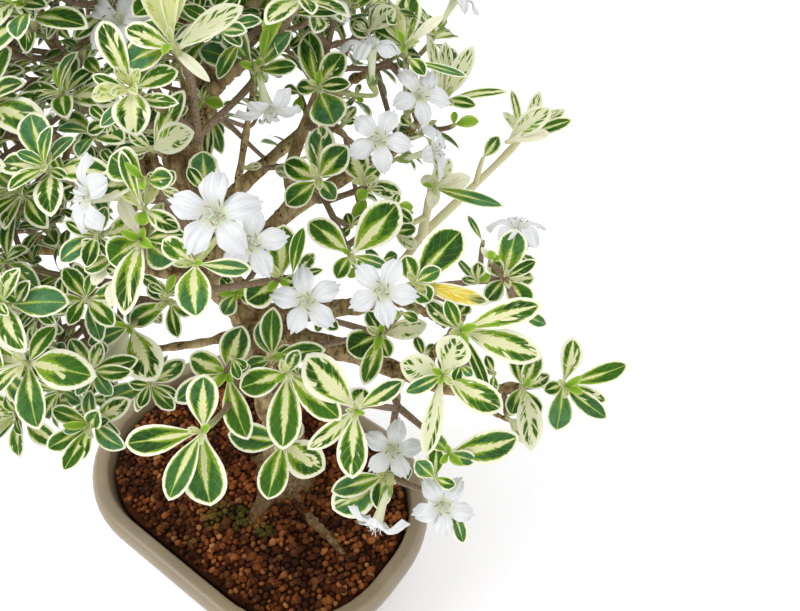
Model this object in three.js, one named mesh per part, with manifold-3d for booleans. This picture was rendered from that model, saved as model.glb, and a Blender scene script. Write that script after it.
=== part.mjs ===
// A serissa bonsai in a low glazed pot. Millimetres, +Z up. The pot's long side
// lies along X and the pot stands on its feet at z = 0. The tree is drawn in a
// frame of its own: origin at the middle of the pot's mouth, level with the rim,
// -Y towards the tree's front. TREE_TURN is the angle from that frame to the pot.
import * as THREE from 'three';
import { mergeVertices } from 'three/addons/utils/BufferGeometryUtils.js';
import Module from 'manifold-3d';

const wasm = await Module();
wasm.setup();

// ---------------------------------------------------------------- dimensions
const GAP = 0.3; // left between pieces that touch

const POT_LENGTH = 150;
const POT_WIDTH = 105;
const POT_CORNER = 47.4; // corner radius in plan
const RIM_Z = 55; // the rim's top above the ground
const FOOT_HEIGHT = 9;
const FLOOR_Z = 15; // the pot's inside floor
const DRAIN_X = 24; // the two drain holes sit at +-DRAIN_X
const DRAIN_RADIUS = 6;
// The pot's wall from its underside up, over the lip and down inside:
// [height, how far in from the rim's outer edge].
const POT_WALL = [
  [9, 14], [11, 12.4], [43, 4.4], [44.6, 2.2], [47, 0.4], [50.5, 0], [53.6, 0.9],
  [RIM_Z, 3], [RIM_Z, 6], [54, 7.2], [45, 8.8], [FLOOR_Z, 18.5],
];

const SCREEN_SIZE = 17; // the mesh over each drain hole
const SCREEN_THICK = 1;
const SCREEN_BAR = 1.6;

const SOIL_DROP = 5; // soil below the rim at the wall
const SOIL_DOME = 3; // and how much it rises towards the trunk
const GRAIN = 1.2; // height of the soil's lumps
const SOIL_RINGS = 6; // rings of lumps from the wall to the middle
const SOIL_CLEAR = 0.45; // between the soil's outline and the wall, to stay off its curve

const TREE_TURN = 36.5; // degrees
const TRUNK_FOOT = [11, 2]; // where the trunk leaves the soil
const ROOT_DEPTH = 24; // the buried stub of the trunk, below the rim

const BLADE_THICK = 0.6;
const BLADE_TRIANGLES = 18; // what a blade adds to its stem
const BLADE_FOLD = 0.35; // how far a leaf's edges stand up, per width
const STEM_RADIUS = 0.9;
const NODE_STEP = 1.1; // from one level of leaves to the next
const TUBE_LENGTH = 10; // a bloom's tube, from its calyx to its face
const TOP_BLOOM = 16; // a bloom's face above the rosette that it tops
const BLOOM_RADIUS = 7.8;

const SEED = 20231;
const TRIANGLES = 17800; // for the whole part; leaves stop when they reach it

// Leaves on the front turn this way: forward and up, to the light.
const FRONT = new THREE.Vector3(0, -0.6717, 0.7408);
const UP = new THREE.Vector3(0, 0, 1);

// The canopy's dome, on which the shoots of the back, left and top end.
const DOME_CENTRE = [-2, 2, 160];
const DOME_RADII = [80, 82, 84];

// ------------------------------------------------------------ wood, by hand
// Each limb is a chain of points with the radius at its start and end.
const LIMBS = {
  trunk: {
    points: [
      [11, 2, -ROOT_DEPTH], [11, 2, -8], [14, 3, 29], [14, 0, 70], [13, 0, 100],
      [3, 2, 120], [-1, 4, 143], [2, 1, 164], [11, -3, 186], [8, 2, 208], [9, 2, 228],
    ],
    radii: [11, 10.5, 8, 7, 6.8, 5.8, 5, 4.2, 3.4, 2.6, 1.5],
    sides: 8,
  },
  right_low: {
    points: [
      [12, 0, 96], [30, -15, 108], [43, -23, 113], [58, -37, 122], [74, -47, 126],
      [88, -50, 130],
    ],
    radii: [4.6, 3.9, 3.3, 2.4, 1.8, 1.2],
    sides: 6,
  },
  right_mid: {
    points: [[14, -2, 104], [39, -9, 116], [52, -17, 127], [66, -28, 144], [77, -38, 150]],
    radii: [3.8, 3, 2.4, 1.8, 1.2],
    sides: 5,
  },
  right_high: {
    points: [[0, 3, 128], [20, 1, 138], [30, -1, 152], [32, -4, 168], [40, 2, 186]],
    radii: [3.4, 2.8, 2.2, 1.8, 1.2],
    sides: 5,
  },
  right_fork: {
    points: [[26, 0, 145], [42, 2, 156], [58, 3, 166], [66, 4, 176]],
    radii: [2.2, 1.9, 1.5, 1.1],
    sides: 4,
  },
  front_low: {
    points: [[13, 1, 100], [17, -20, 112], [23, -38, 122], [26, -50, 132]],
    radii: [3, 2.4, 1.8, 1.2],
    sides: 5,
  },
  front_high: {
    points: [[2, 1, 162], [10, -18, 172], [17, -36, 182], [20, -52, 190]],
    radii: [2.6, 2.1, 1.6, 1.1],
    sides: 5,
  },
  front_left: {
    points: [[-1, 4, 140], [-8, -14, 144], [-12, -30, 149]],
    radii: [2.4, 1.8, 1.2],
    sides: 4,
  },
  left_low: {
    points: [[4, 2, 116], [-16, 4, 121], [-34, 2, 129], [-50, -6, 138]],
    radii: [3.8, 2.9, 2.1, 1.3],
    sides: 5,
  },
  left_high: {
    points: [[0, 2, 150], [-15, -2, 166], [-30, -8, 180], [-42, -14, 192]],
    radii: [2.8, 2.1, 1.6, 1.1],
    sides: 4,
  },
  back_low: {
    points: [[1, 3, 130], [0, 22, 136], [-6, 40, 144], [-8, 54, 152]],
    radii: [3.2, 2.5, 1.8, 1.2],
    sides: 5,
  },
  back_right: {
    points: [[0, 4, 138], [18, 22, 146], [34, 36, 154], [46, 46, 162]],
    radii: [2.8, 2.1, 1.6, 1.1],
    sides: 4,
  },
  back_left: {
    points: [[-1, 3, 150], [-18, 18, 158], [-32, 32, 168], [-42, 42, 178]],
    radii: [2.6, 2, 1.5, 1.1],
    sides: 4,
  },
  top_back: {
    points: [[6, -1, 176], [4, 16, 190], [0, 30, 204]],
    radii: [2.2, 1.7, 1.1],
    sides: 4,
  },
  top_right: {
    points: [[11, -2, 190], [24, 8, 204], [34, 16, 214]],
    radii: [2, 1.6, 1.1],
    sides: 4,
  },
  top_left: {
    points: [[8, 2, 204], [-8, 0, 216], [-20, 0, 226]],
    radii: [2, 1.5, 1.1],
    sides: 4,
  },
};

// Surface roots run out from the trunk's foot and dip into the soil:
// [direction in degrees, length, radius at the trunk].
const ROOTS = [[-118, 40, 4.2], [-62, 26, 3.6], [-8, 22, 3.8], [70, 24, 4], [150, 26, 3.8]];

// ----------------------------------------------------------- shoots, by hand
// A shoot leaves a limb (`limb`, `along` it from 0 to 1) and carries rosettes of
// leaves. A leaf is [clock hour it points to, reach, width], as seen by someone
// whom the rosette faces.
const FRONT_SHOOTS = [
  {
    name: 'front_left_low', limb: 'front_low', along: 1,
    rosettes: [
      {
        at: [19, -80, 156],
        leaves: [
          [8.7, 16.5, 5.7], [6.8, 15, 5.1], [5.8, 16, 8.1], [0, 12, 6.4],
        ],
      },
      {
        at: [20, -59, 149],
        leaves: [
          [9.8, 9.5, 5.7], [0.6, 11.5, 6.4], [5.4, 16.5, 5.9], [2.5, 6, 2.9],
          [8, 13, 4.8],
        ],
      },
    ],
  },
  {
    name: 'front_middle_low', limb: 'front_low', along: 0.82,
    rosettes: [
      {
        at: [35, -63, 154],
        leaves: [
          [8.4, 11.5, 5.9], [6.1, 17.5, 6.9], [4.3, 16, 6.2], [3.3, 6, 3.2],
          [1, 6, 3.2],
        ],
      },
      {
        at: [31, -63, 125],
        leaves: [
          [6.5, 15, 6.7], [4.1, 12.5, 8.7], [9.3, 14, 6.7], [1.3, 7, 4.6],
        ],
      },
    ],
  },
  {
    name: 'front_right_low', limb: 'right_low', along: 0.62,
    rosettes: [
      {
        at: [51, -71, 151],
        leaves: [
          [10.6, 16.5, 8.1], [7.7, 14, 4], [6.1, 14.5, 6.1], [0.7, 5, 5.4],
          [1.9, 12.5, 4],
        ],
      },
      {
        at: [57, -69, 119],
        leaves: [
          [7.9, 16, 8.7], [8.5, 14, 5.2], [6.5, 7.5, 4.8], [2.7, 7, 4.3],
        ],
      },
      {
        at: [72, -74, 138],
        leaves: [
          [2.6, 17, 7.1], [3.5, 6.5, 3.5], [10.5, 6.5, 3.6],
        ],
      },
    ],
  },
  {
    name: 'right_front', limb: 'right_mid', along: 1,
    rosettes: [
      {
        at: [70, -68, 160],
        leaves: [
          [9.5, 9.5, 5.9], [0.8, 9, 7], [6.4, 18, 4], [4, 15.5, 6.2],
          [8.2, 9, 3.1],
        ],
      },
      {
        at: [74, -58, 163],
        leaves: [
          [3.6, 19.5, 6.3], [2.4, 18.5, 5.4], [5.2, 15, 2.7], [10.4, 10, 3.6],
          [11.2, 7.5, 3.1],
        ],
      },
    ],
  },
  {
    name: 'right_middle', limb: 'right_mid', along: 0.72,
    rosettes: [
      {
        at: [86, -39, 160],
        leaves: [
          [0.5, 12.5, 6.3], [10.7, 6, 3.7], [3, 7.5, 4.1], [4.7, 9, 5.8],
          [7.3, 7, 4.4], [2, 8, 2.9],
        ],
      },
      {
        at: [64, -50, 170],
        leaves: [
          [1.4, 16, 7.9], [3.5, 17.5, 3.6], [4.7, 5.5, 4.5], [11.4, 6.5, 4.5],
          [2.1, 6.5, 3.6],
        ],
      },
    ],
  },
  {
    name: 'right_tip', limb: 'right_low', along: 1,
    rosettes: [
      {
        at: [101, -56, 140],
        leaves: [
          [0.4, 12, 5], [2.4, 16.5, 4.5], [3.7, 11, 3.2], [4.3, 12, 4.3],
          [6.3, 11.5, 5.6], [8.4, 5, 3.4],
        ],
      },
      {
        at: [91, -56, 139],
        leaves: [
          [11.6, 9, 3.8], [0.8, 9.5, 4.2], [6.7, 7.5, 4.5], [5, 8, 3.8],
          [2.2, 7.5, 3.5], [5.9, 14, 5.4],
        ],
      },
    ],
  },
  {
    name: 'right_pale_shoot', limb: 'right_mid', along: 0.5,
    rosettes: [
      {
        at: [96, 19, 159],
        leaves: [
          [11.6, 14.5, 2.4], [0.7, 14, 3.5], [1.9, 16, 4.1], [2.5, 14, 3.5],
          [10.6, 8.5, 2.6],
        ],
      },
      {
        at: [69, -11, 165],
        leaves: [
          [2.5, 10.5, 4.2], [1.1, 8.5, 4.2], [11, 4, 3.1], [3.6, 18.5, 3.1],
        ],
      },
    ],
  },
  {
    name: 'middle_low', limb: 'right_low', along: 0.3,
    rosettes: [
      {
        at: [56, -49, 151],
        leaves: [
          [8.1, 9, 6.6], [6.6, 12.5, 4.4], [2.6, 11.5, 4.6], [5.3, 6, 3.9],
          [11, 6.5, 3.4],
        ],
      },
      {
        at: [30, -53, 147],
        leaves: [
          [11.4, 9.5, 5.4], [0.1, 12, 4.9], [2.3, 5.5, 3.9], [2.7, 13, 4.4],
          [8.4, 7, 3.4],
        ],
      },
    ],
  },
  {
    name: 'middle', limb: 'right_high', along: 0.3,
    rosettes: [
      {
        at: [34, -50, 171],
        leaves: [
          [7.9, 9, 6.1], [0.1, 12.5, 6.3], [10.3, 8.5, 2.5], [3.3, 4, 2.7],
        ],
      },
      {
        at: [20, -38, 154],
        leaves: [
          [10.5, 5.5, 3.2], [7, 6.5, 4], [3.5, 5, 4],
        ],
      },
    ],
  },
  {
    name: 'middle_right', limb: 'right_high', along: 0.62,
    rosettes: [
      {
        at: [49, -38, 167],
        leaves: [
          [10.3, 13, 5.9], [3.6, 9.5, 2.9], [1.4, 17, 8.3], [7, 6.5, 3.8],
        ],
      },
      {
        at: [52, -18, 172],
        leaves: [
          [3.5, 9.5, 4.2], [11.2, 9, 6], [1.5, 5.5, 3.5],
        ],
      },
    ],
  },
  {
    name: 'middle_high', limb: 'right_high', along: 0.9,
    rosettes: [
      {
        at: [41, -21, 176],
        leaves: [
          [9.9, 9.5, 5.1], [0.1, 13.5, 6.6], [1.7, 5.5, 3.4], [7.7, 10, 5.4],
          [4.7, 6.5, 3.9], [1.6, 10, 6.3],
        ],
      },
      {
        at: [41, -5, 191],
        leaves: [
          [11.7, 14, 5.6], [1.3, 10, 5.4], [9.2, 5.5, 3.7], [2, 4, 3.2],
          [5.2, 9.5, 8.3], [3.1, 8, 3.4],
        ],
      },
    ],
  },
  {
    name: 'high_right', limb: 'right_fork', along: 1,
    rosettes: [
      {
        at: [62, 7, 195],
        leaves: [
          [0.2, 13.5, 6], [11.2, 11, 5], [10, 9, 3.5], [1.8, 11.5, 2.4],
        ],
      },
      {
        at: [48, 14, 201],
        leaves: [
          [4.8, 8, 4.5], [10.7, 7, 3.5], [1.5, 8.5, 4],
        ],
      },
      {
        at: [72, 9, 178],
        leaves: [
          [2.7, 18, 2.4], [0.1, 16, 3.8], [1, 15.5, 4.8], [11.5, 15.5, 2.7],
          [3.4, 9, 3.2],
        ],
      },
    ],
  },
  {
    name: 'front_high', limb: 'front_high', along: 1,
    rosettes: [
      {
        at: [25, -75, 201],
        leaves: [
          [5.9, 9.5, 5.6], [3.2, 10, 3], [10.2, 7, 3.6],
        ],
      },
      {
        at: [13, -65, 197],
        leaves: [
          [7.9, 7.5, 6], [4.2, 7, 5.8], [6.3, 14, 4.8], [0.9, 8, 2.6],
          [11.1, 8.5, 2.6], [2.8, 8.5, 3],
        ],
      },
      {
        at: [15, -61, 208],
        leaves: [
          [8.7, 9, 4.7], [10.2, 7, 6], [2.8, 5, 3.6],
        ],
      },
    ],
  },
  {
    name: 'left_front_low', limb: 'front_left', along: 1,
    rosettes: [
      {
        at: [-3, -51, 156],
        leaves: [
          [5.1, 14, 8.6], [7.2, 11, 5.9], [9.7, 9, 4.8], [8.2, 9.5, 3.8],
        ],
      },
      {
        at: [5, -43, 156],
        leaves: [
          [8.1, 11.5, 4.9], [5.6, 9, 3.4], [3.7, 7, 3.9], [10.4, 7, 4.4],
        ],
      },
    ],
  },
  {
    name: 'front_top', limb: 'front_high', along: 0.45,
    rosettes: [
      {
        at: [11, -44, 216],
        leaves: [
          [11.2, 13.5, 4.6], [5.8, 9, 6.2], [8.6, 8, 3.2], [2.3, 9, 3.8],
        ],
      },
      {
        at: [20, -42, 223],
        leaves: [
          [1.9, 14.5, 4.2], [9.7, 9.5, 3.8], [11.3, 13, 3.6], [0.2, 15, 3.4],
        ],
      },
      {
        at: [28, -13, 201],
        leaves: [
          [9.7, 14, 5.7], [10.9, 13, 5.8], [2.8, 9.5, 3.4], [1.6, 11.5, 3.8],
        ],
      },
    ],
  },
];

// Shoots on the rest of the dome: [name, limb, along it, azimuth, elevation], then
// any rosettes beside the usual three, as [turn, rise, depth].
const DOME_SHOOTS = [
  ['back_right_low', 'back_right', 0.7, 38, -20],
  ['back_low', 'back_low', 0.8, 82, -22],
  ['back_left_low', 'back_low', 0.5, 126, -20],
  ['left_low', 'left_low', 0.8, 168, -20],
  ['left_front_side', 'left_low', 1, 206, -12],
  ['left_front', 'left_low', 0.6, 240, -6],
  ['right_back', 'back_right', 1, 24, 14],
  ['back_right', 'back_right', 0.75, 62, 12],
  ['back', 'back_low', 1, 102, 10],
  ['back_left', 'back_left', 0.8, 144, 10],
  ['left', 'left_high', 0.6, 184, 16],
  ['left_high_front', 'left_high', 1, 224, 24, [14, 22, 0.74], [-22, 18, 0.8]],
  ['high_back', 'top_back', 1, 84, 46],
  ['high_left_back', 'back_left', 1, 142, 46],
  ['high_left', 'top_left', 1, 204, 56, [50, 6, 0.84]],
  ['crown', 'trunk', 1, 20, 66, [-110, 12, 0.95]],
];

// ----------------------------------------------------------- blooms, by hand
// [name, shoot, rosette, middle of the face, the way it faces, the hour of one lobe]
const FACING = FRONT.toArray();
const BLOOMS = [
  ['bloom_middle', 'right_middle', 1, [57, -60, 178], FACING, 0.9],
  ['bloom_middle_left', 'middle', 0, [41, -61, 176], FACING, 11.7],
  ['bloom_low', 'front_right_low', 1, [59, -70, 132], FACING, 0.4],
  ['bloom_low_right', 'front_right_low', 1, [71, -83, 128], FACING, 1.2],
  ['bloom_low_nodding', 'front_right_low', 1, [55, -86, 124], [-0.3, -0.9, -0.3], 6],
  ['bloom_upper', 'middle_right', 1, [56, -25, 191], FACING, 0.9],
  ['bloom_upper_back', 'middle_high', 1, [54, -2, 202], [0, 0.34, 0.94], 9.5],
  ['bloom_high_right', 'high_right', 0, [66, -8, 192], [0.3, -0.5, 0.8], 1],
  ['bloom_hanging', 'front_top', 2, [32, -24, 197], [0.31, -0.8, -0.52], 7.6],
  ['bloom_high', 'high_right', 1, [43, 4, 210], [-0.1, -0.6, 0.8], 2],
  ['bloom_front', 'front_high', 0, [31, -78, 215], FACING, 0],
  ['bloom_front_behind', 'middle', 0, [31, -58, 190], [0.3, -0.65, 0.7], 5],
  ['bloom_front_left', 'front_high', 2, [4, -64, 207], [-0.75, -0.5, 0.43], 0],
  ['bloom_top_front', 'front_top', 1, [4, -26, 221], [-0.4, -0.4, 0.82], 0.5],
  ['bloom_right', 'middle_right', 1, [70, -12, 178], [0.85, -0.2, 0.4], 6],
  ['bloom_right_upright', 'right_middle', 0, [90, -27, 167], [0.1, 0.35, 0.93], 2],
];

// On the dome a bloom stands on a shoot's first rosette.
const DOME_BLOOMS = [
  'back_low', 'left_low', 'right_back', 'back', 'back_left', 'left_high_front',
  'high_left_back', 'crown',
];

// ------------------------------------------------------------------- helpers
const vec = (values) => new THREE.Vector3(...values);
const radians = THREE.MathUtils.degToRad;

// A repeatable draw between 0 and 1 for a set of whole numbers.
function draw(...keys) {
  let hash = SEED;
  for (const key of keys) {
    hash = Math.imul(hash ^ (key + 1013), 2654435761) >>> 0;
    hash = (hash ^ (hash >>> 15)) >>> 0;
  }
  hash = Math.imul(hash, 2246822519) >>> 0;
  return ((hash ^ (hash >>> 13)) >>> 0) / 4294967296;
}

function closedGeometry(vertices, triangles) {
  const geometry = new THREE.BufferGeometry();
  geometry.setAttribute('position', new THREE.Float32BufferAttribute(vertices.flat(), 3));
  geometry.setIndex(triangles.flat());
  return geometry;
}

function toSolid(geometry) {
  const bare = geometry.clone();
  bare.deleteAttribute('normal');
  bare.deleteAttribute('uv');
  const merged = mergeVertices(bare, 1e-4);
  return new wasm.Manifold(new wasm.Mesh({
    numProp: 3,
    vertProperties: new Float32Array(merged.attributes.position.array),
    triVerts: new Uint32Array(merged.index.array),
  }));
}

function toGeometry(solid) {
  const mesh = solid.getMesh();
  const geometry = new THREE.BufferGeometry();
  geometry.setAttribute('position', new THREE.BufferAttribute(mesh.vertProperties, 3));
  geometry.setIndex(new THREE.BufferAttribute(mesh.triVerts, 1));
  return geometry;
}

function join(solids) {
  return solids.reduce((whole, solid) => whole.add(solid));
}

function material(color, roughness) {
  return new THREE.MeshStandardMaterial({ color, roughness, metalness: 0 });
}

function piece(name, geometry, finish) {
  const mesh = new THREE.Mesh(geometry, finish);
  mesh.name = name;
  return mesh;
}

// A closed skin over rings of equal point counts, capped at both ends.
function loft(rings) {
  const count = rings[0].length;
  const vertices = rings.flat();
  const triangles = [];
  for (let level = 0; level < rings.length - 1; level += 1) {
    for (let i = 0; i < count; i += 1) {
      const a = level * count + i;
      const b = level * count + ((i + 1) % count);
      triangles.push([a, b, b + count], [a, b + count, a + count]);
    }
  }
  const last = (rings.length - 1) * count;
  for (let i = 1; i < count - 1; i += 1) {
    triangles.push([0, i + 1, i], [last, last + i, last + i + 1]);
  }
  return closedGeometry(vertices, triangles);
}

// Points evenly round `centre`, square to `axis`, the first on the side of `toward`.
function ring(centre, axis, toward, radius, sides) {
  const side = toward.clone().addScaledVector(axis, -toward.dot(axis)).normalize();
  const other = axis.clone().cross(side);
  return Array.from({ length: sides }, (_, k) => {
    const angle = (2 * Math.PI * k) / sides;
    return centre.clone()
      .addScaledVector(side, radius * Math.cos(angle))
      .addScaledVector(other, radius * Math.sin(angle)).toArray();
  });
}

// A tapering tube through points, closed at both ends.
function limb(points, radii, sides) {
  const curve = new THREE.CatmullRomCurve3(points, false, 'catmullrom', 0.5);
  let toward = Math.abs(curve.getTangent(0).z) < 0.9 ? UP : new THREE.Vector3(1, 0, 0);
  const rings = points.map((centre, i) => {
    const along = curve.getTangent(i / (points.length - 1));
    toward = toward.clone().addScaledVector(along, -toward.dot(along)).normalize();
    return ring(centre, along, toward, radii[i], sides);
  });
  return loft(rings);
}

function limbPoint(name, along) {
  const points = LIMBS[name].points.map(vec);
  return new THREE.CatmullRomCurve3(points, false, 'catmullrom', 0.5).getPoint(along);
}

// ----------------------------------------------------------------------- pot
// A rounded rectangle in plan, `inset` in from the rim's outer edge.
function potOutline(inset, z, turns = 5) {
  const radius = POT_CORNER - inset;
  const x = POT_LENGTH / 2 - POT_CORNER;
  const y = POT_WIDTH / 2 - POT_CORNER;
  const corners = [[x, y], [-x, y], [-x, -y], [x, -y]];
  return corners.flatMap(([cx, cy], quarter) => {
    const points = [];
    for (let i = 0; i <= turns; i += 1) {
      const angle = (quarter + i / turns) * (Math.PI / 2);
      points.push([cx + radius * Math.cos(angle), cy + radius * Math.sin(angle), z]);
    }
    return points;
  });
}

function footGeometry(x, y) {
  const outline = (long, wide, z) => [
    [x + long, y + wide * 0.4, z], [x + long * 0.7, y + wide, z], [x - long * 0.7, y + wide, z],
    [x - long, y + wide * 0.4, z], [x - long, y - wide * 0.4, z], [x - long * 0.7, y - wide, z],
    [x + long * 0.7, y - wide, z], [x + long, y - wide * 0.4, z],
  ];
  return loft([outline(8.5, 5.5, 0), outline(9.5, 6.5, 1.5), outline(12, 8, FOOT_HEIGHT + 1)]);
}

function pot() {
  let solid = toSolid(loft(POT_WALL.map(([z, inset]) => potOutline(inset, z))));
  for (const [x, y] of [[34, 21], [-34, 21], [-34, -21], [34, -21]]) {
    solid = solid.add(toSolid(footGeometry(x, y)));
  }
  for (const x of [-DRAIN_X, DRAIN_X]) {
    const hole = new THREE.CylinderGeometry(DRAIN_RADIUS, DRAIN_RADIUS, 20, 12);
    hole.rotateX(Math.PI / 2).translate(x, 0, FLOOR_Z);
    solid = solid.subtract(toSolid(hole));
  }
  return piece('pot', toGeometry(solid), material(0xa39a86, 0.35));
}

function screenAt(x, name) {
  const cell = (SCREEN_SIZE - 3 * SCREEN_BAR) / 2;
  const off = (cell + SCREEN_BAR) / 2;
  let solid = toSolid(new THREE.BoxGeometry(SCREEN_SIZE, SCREEN_SIZE, SCREEN_THICK));
  for (const [cx, cy] of [[off, off], [-off, off], [-off, -off], [off, -off]]) {
    const hole = new THREE.BoxGeometry(cell, cell, 2 * SCREEN_THICK).translate(cx, cy, 0);
    solid = solid.subtract(toSolid(hole));
  }
  const mesh = piece(name, toGeometry(solid), material(0x2c2e2c, 0.6));
  mesh.position.set(x, 0, FLOOR_Z + GAP + SCREEN_THICK / 2);
  return mesh;
}

// ---------------------------------------------------------------------- soil
function soil(cavity) {
  const [upper, lower] = POT_WALL.slice(-2);
  const wallInset = (z) => {
    const share = Math.min((z - lower[0]) / (upper[0] - lower[0]), 1);
    return THREE.MathUtils.lerp(lower[1], upper[1], share) + SOIL_CLEAR;
  };
  const edgeZ = RIM_Z - SOIL_DROP;
  const levels = [FLOOR_Z + GAP, upper[0], edgeZ].map((z) => potOutline(wallInset(z), z));
  const edge = levels[2];
  for (let row = 1; row < SOIL_RINGS; row += 1) {
    const share = 1 - row / SOIL_RINGS;
    levels.push(edge.map(([x, y], i) => {
      const lump = GRAIN * (2 * draw(7, row, i) - 1);
      const z = edgeZ + SOIL_DOME * (1 - share * share) + lump;
      const wobble = 1 + 0.03 * (2 * draw(8, row, i) - 1);
      return [x * share * wobble, y * share * wobble, z];
    }));
  }
  let solid = toSolid(loft(levels));
  const pocket = SCREEN_SIZE + 2 * GAP;
  for (const x of [-DRAIN_X, DRAIN_X]) {
    const box = new THREE.BoxGeometry(pocket, pocket, 2 * (SCREEN_THICK + GAP));
    box.translate(x, 0, FLOOR_Z + GAP);
    solid = solid.subtract(toSolid(box));
  }
  solid = solid.subtract(cavity);
  return piece('soil', toGeometry(solid), material(0x7d4a30, 0.95));
}

// ---------------------------------------------------------------------- tree
function rootLimb([degrees, length, radius], extra) {
  const [x, y] = TRUNK_FOOT;
  const out = (share, z) => new THREE.Vector3(
    x + length * share * Math.cos(radians(degrees)),
    y + length * share * Math.sin(radians(degrees)),
    z,
  );
  const points = [out(0, 1), out(0.45, -4), out(1, -11)];
  const radii = [radius, radius * 0.8, radius * 0.5].map((r) => r + extra);
  return toSolid(limb(points, radii, 6));
}

// The trunk's foot and roots, swollen by the gap, to cut their hole in the soil.
function rootCavity(placement) {
  const points = LIMBS.trunk.points.slice(0, 3).map(vec);
  points[0].z -= GAP;
  const radii = LIMBS.trunk.radii.slice(0, 3).map((r) => r + 2 * GAP);
  const solids = [toSolid(limb(points, radii, LIMBS.trunk.sides))];
  ROOTS.forEach((root) => solids.push(rootLimb(root, 2 * GAP)));
  return toSolid(toGeometry(join(solids)).applyMatrix4(placement));
}

// Where a shoot starts, and the way it sets off from its limb.
function shootStart(shoot) {
  const from = limbPoint(shoot.limb, shoot.along);
  const middle = new THREE.Vector3();
  shoot.rosettes.forEach(({ at }) => middle.add(vec(at)));
  middle.divideScalar(shoot.rosettes.length);
  const onward = middle.clone().sub(from);
  const start = from.clone().addScaledVector(onward, 0.45);
  return { from, start, heading: onward.normalize() };
}

function domePoint(azimuth, elevation) {
  const [a, e] = [radians(azimuth), radians(elevation)];
  const out = new THREE.Vector3(Math.cos(e) * Math.cos(a), Math.cos(e) * Math.sin(a), Math.sin(e));
  const at = out.clone().multiply(vec(DOME_RADII)).add(vec(DOME_CENTRE));
  return { at, out };
}

// A shoot on the dome has a rosette at its tip and one on each side behind it.
function domeShoot([name, limbName, along, azimuth, elevation, ...more], index) {
  const turns = [[0, 0, 1], [-17, -9, 0.86], [16, 9, 0.88], ...more];
  const rosettes = turns.map(([turn, rise, depth], r) => {
    const { at, out } = domePoint(azimuth + turn, elevation + rise);
    at.sub(vec(DOME_CENTRE)).multiplyScalar(depth).add(vec(DOME_CENTRE));
    const first = 3 * draw(index, r, 1);
    const leaves = [0, 1, 2, 3, 4, 5].map((k) => {
      const pair = Math.floor(k / 2);
      const clock = first + 6 * (k % 2) + 2.2 * pair + 0.7 * draw(index, r, 10 + k);
      const reach = 14.5 - 2.6 * pair + 3 * draw(index, r, 20 + k);
      return [clock, reach, reach * (0.36 + 0.1 * draw(index, r, 30 + k))];
    });
    return { at: at.toArray(), leaves, facing: out.multiplyScalar(0.8).add(UP).normalize() };
  });
  return { name, limb: limbName, along, rosettes };
}

// Twigs of wood reach from the limbs to where the green shoots begin.
function twig(shoot) {
  const { from, start, heading } = shootStart(shoot);
  const tip = start.clone().addScaledVector(heading, -GAP / 2);
  return toSolid(limb([from, tip], [1.7, 1.2], 3));
}

function woodSolid(shoots) {
  const solids = Object.values(LIMBS).map(({ points, radii, sides }) => (
    toSolid(limb(points.map(vec), radii, sides))
  ));
  ROOTS.forEach((root) => solids.push(rootLimb(root, 0)));
  shoots.forEach((shoot) => solids.push(twig(shoot)));
  return join(solids);
}

// ------------------------------------------------------------------ rosettes
// A green stem is square. Leaves leave its four faces at levels NODE_STEP apart,
// opposite or nearly so, and each blade grows out of a face without a seam.
function rosetteFrame({ at, facing = FRONT, leaves }) {
  const up = UP.clone().addScaledVector(facing, -UP.dot(facing)).normalize();
  return { centre: vec(at), facing, up, right: up.clone().cross(facing), hour: leaves[0][0] };
}

function clockWay({ up, right }, hour) {
  const angle = radians(30 * hour);
  return up.clone().multiplyScalar(Math.cos(angle)).addScaledVector(right, Math.sin(angle));
}

// The face of the stem that each leaf grows from, and its level.
function seatLeaves(leaves) {
  const seats = [];
  leaves.forEach(([hour]) => {
    const face = (((-Math.round((hour - leaves[0][0]) / 3)) % 4) + 4) % 4;
    const crowded = (level) => seats.some((seat) => {
      const apart = Math.abs(seat.hour - hour) % 12;
      return seat.level === level && (seat.face === face || Math.min(apart, 12 - apart) < 2);
    });
    let level = 0;
    while (crowded(level)) level += 1;
    seats.push({ hour, face, level });
  });
  return seats;
}

function levelCentre(frame, level) {
  return frame.centre.clone().addScaledVector(frame.facing, level * NODE_STEP);
}

// The outline points of a blade past its base: four above, four below, the tip.
function bladePoints(frame, [hour, reach, width], level, rise, swell = 0) {
  const start = levelCentre(frame, level + 0.5);
  const along = clockWay(frame, hour).multiplyScalar(reach).addScaledVector(frame.facing, rise);
  const onward = along.clone().normalize();
  const face = frame.facing.clone().addScaledVector(onward, -frame.facing.dot(onward)).normalize();
  const side = onward.clone().cross(face);
  const point = (share, across, height) => start.clone()
    .addScaledVector(along, share)
    .addScaledVector(side, across * (width + 2 * swell))
    .addScaledVector(face, height + Math.abs(across) * width * BLADE_FOLD).toArray();
  const outline = [[0.4, 0.45], [0.74, 0.5], [0.74, -0.5], [0.4, -0.45]];
  const half = BLADE_THICK / 2 + swell;
  const points = [half, -half].flatMap((height) => (
    outline.map(([share, across]) => point(share, across, height))
  ));
  const root = [half, -half].flatMap((height) => (
    [point(0.16, 0.1, height), point(0.16, -0.1, height)]
  ));
  return { points: [...points, point(1, 0, 0)], root };
}

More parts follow.
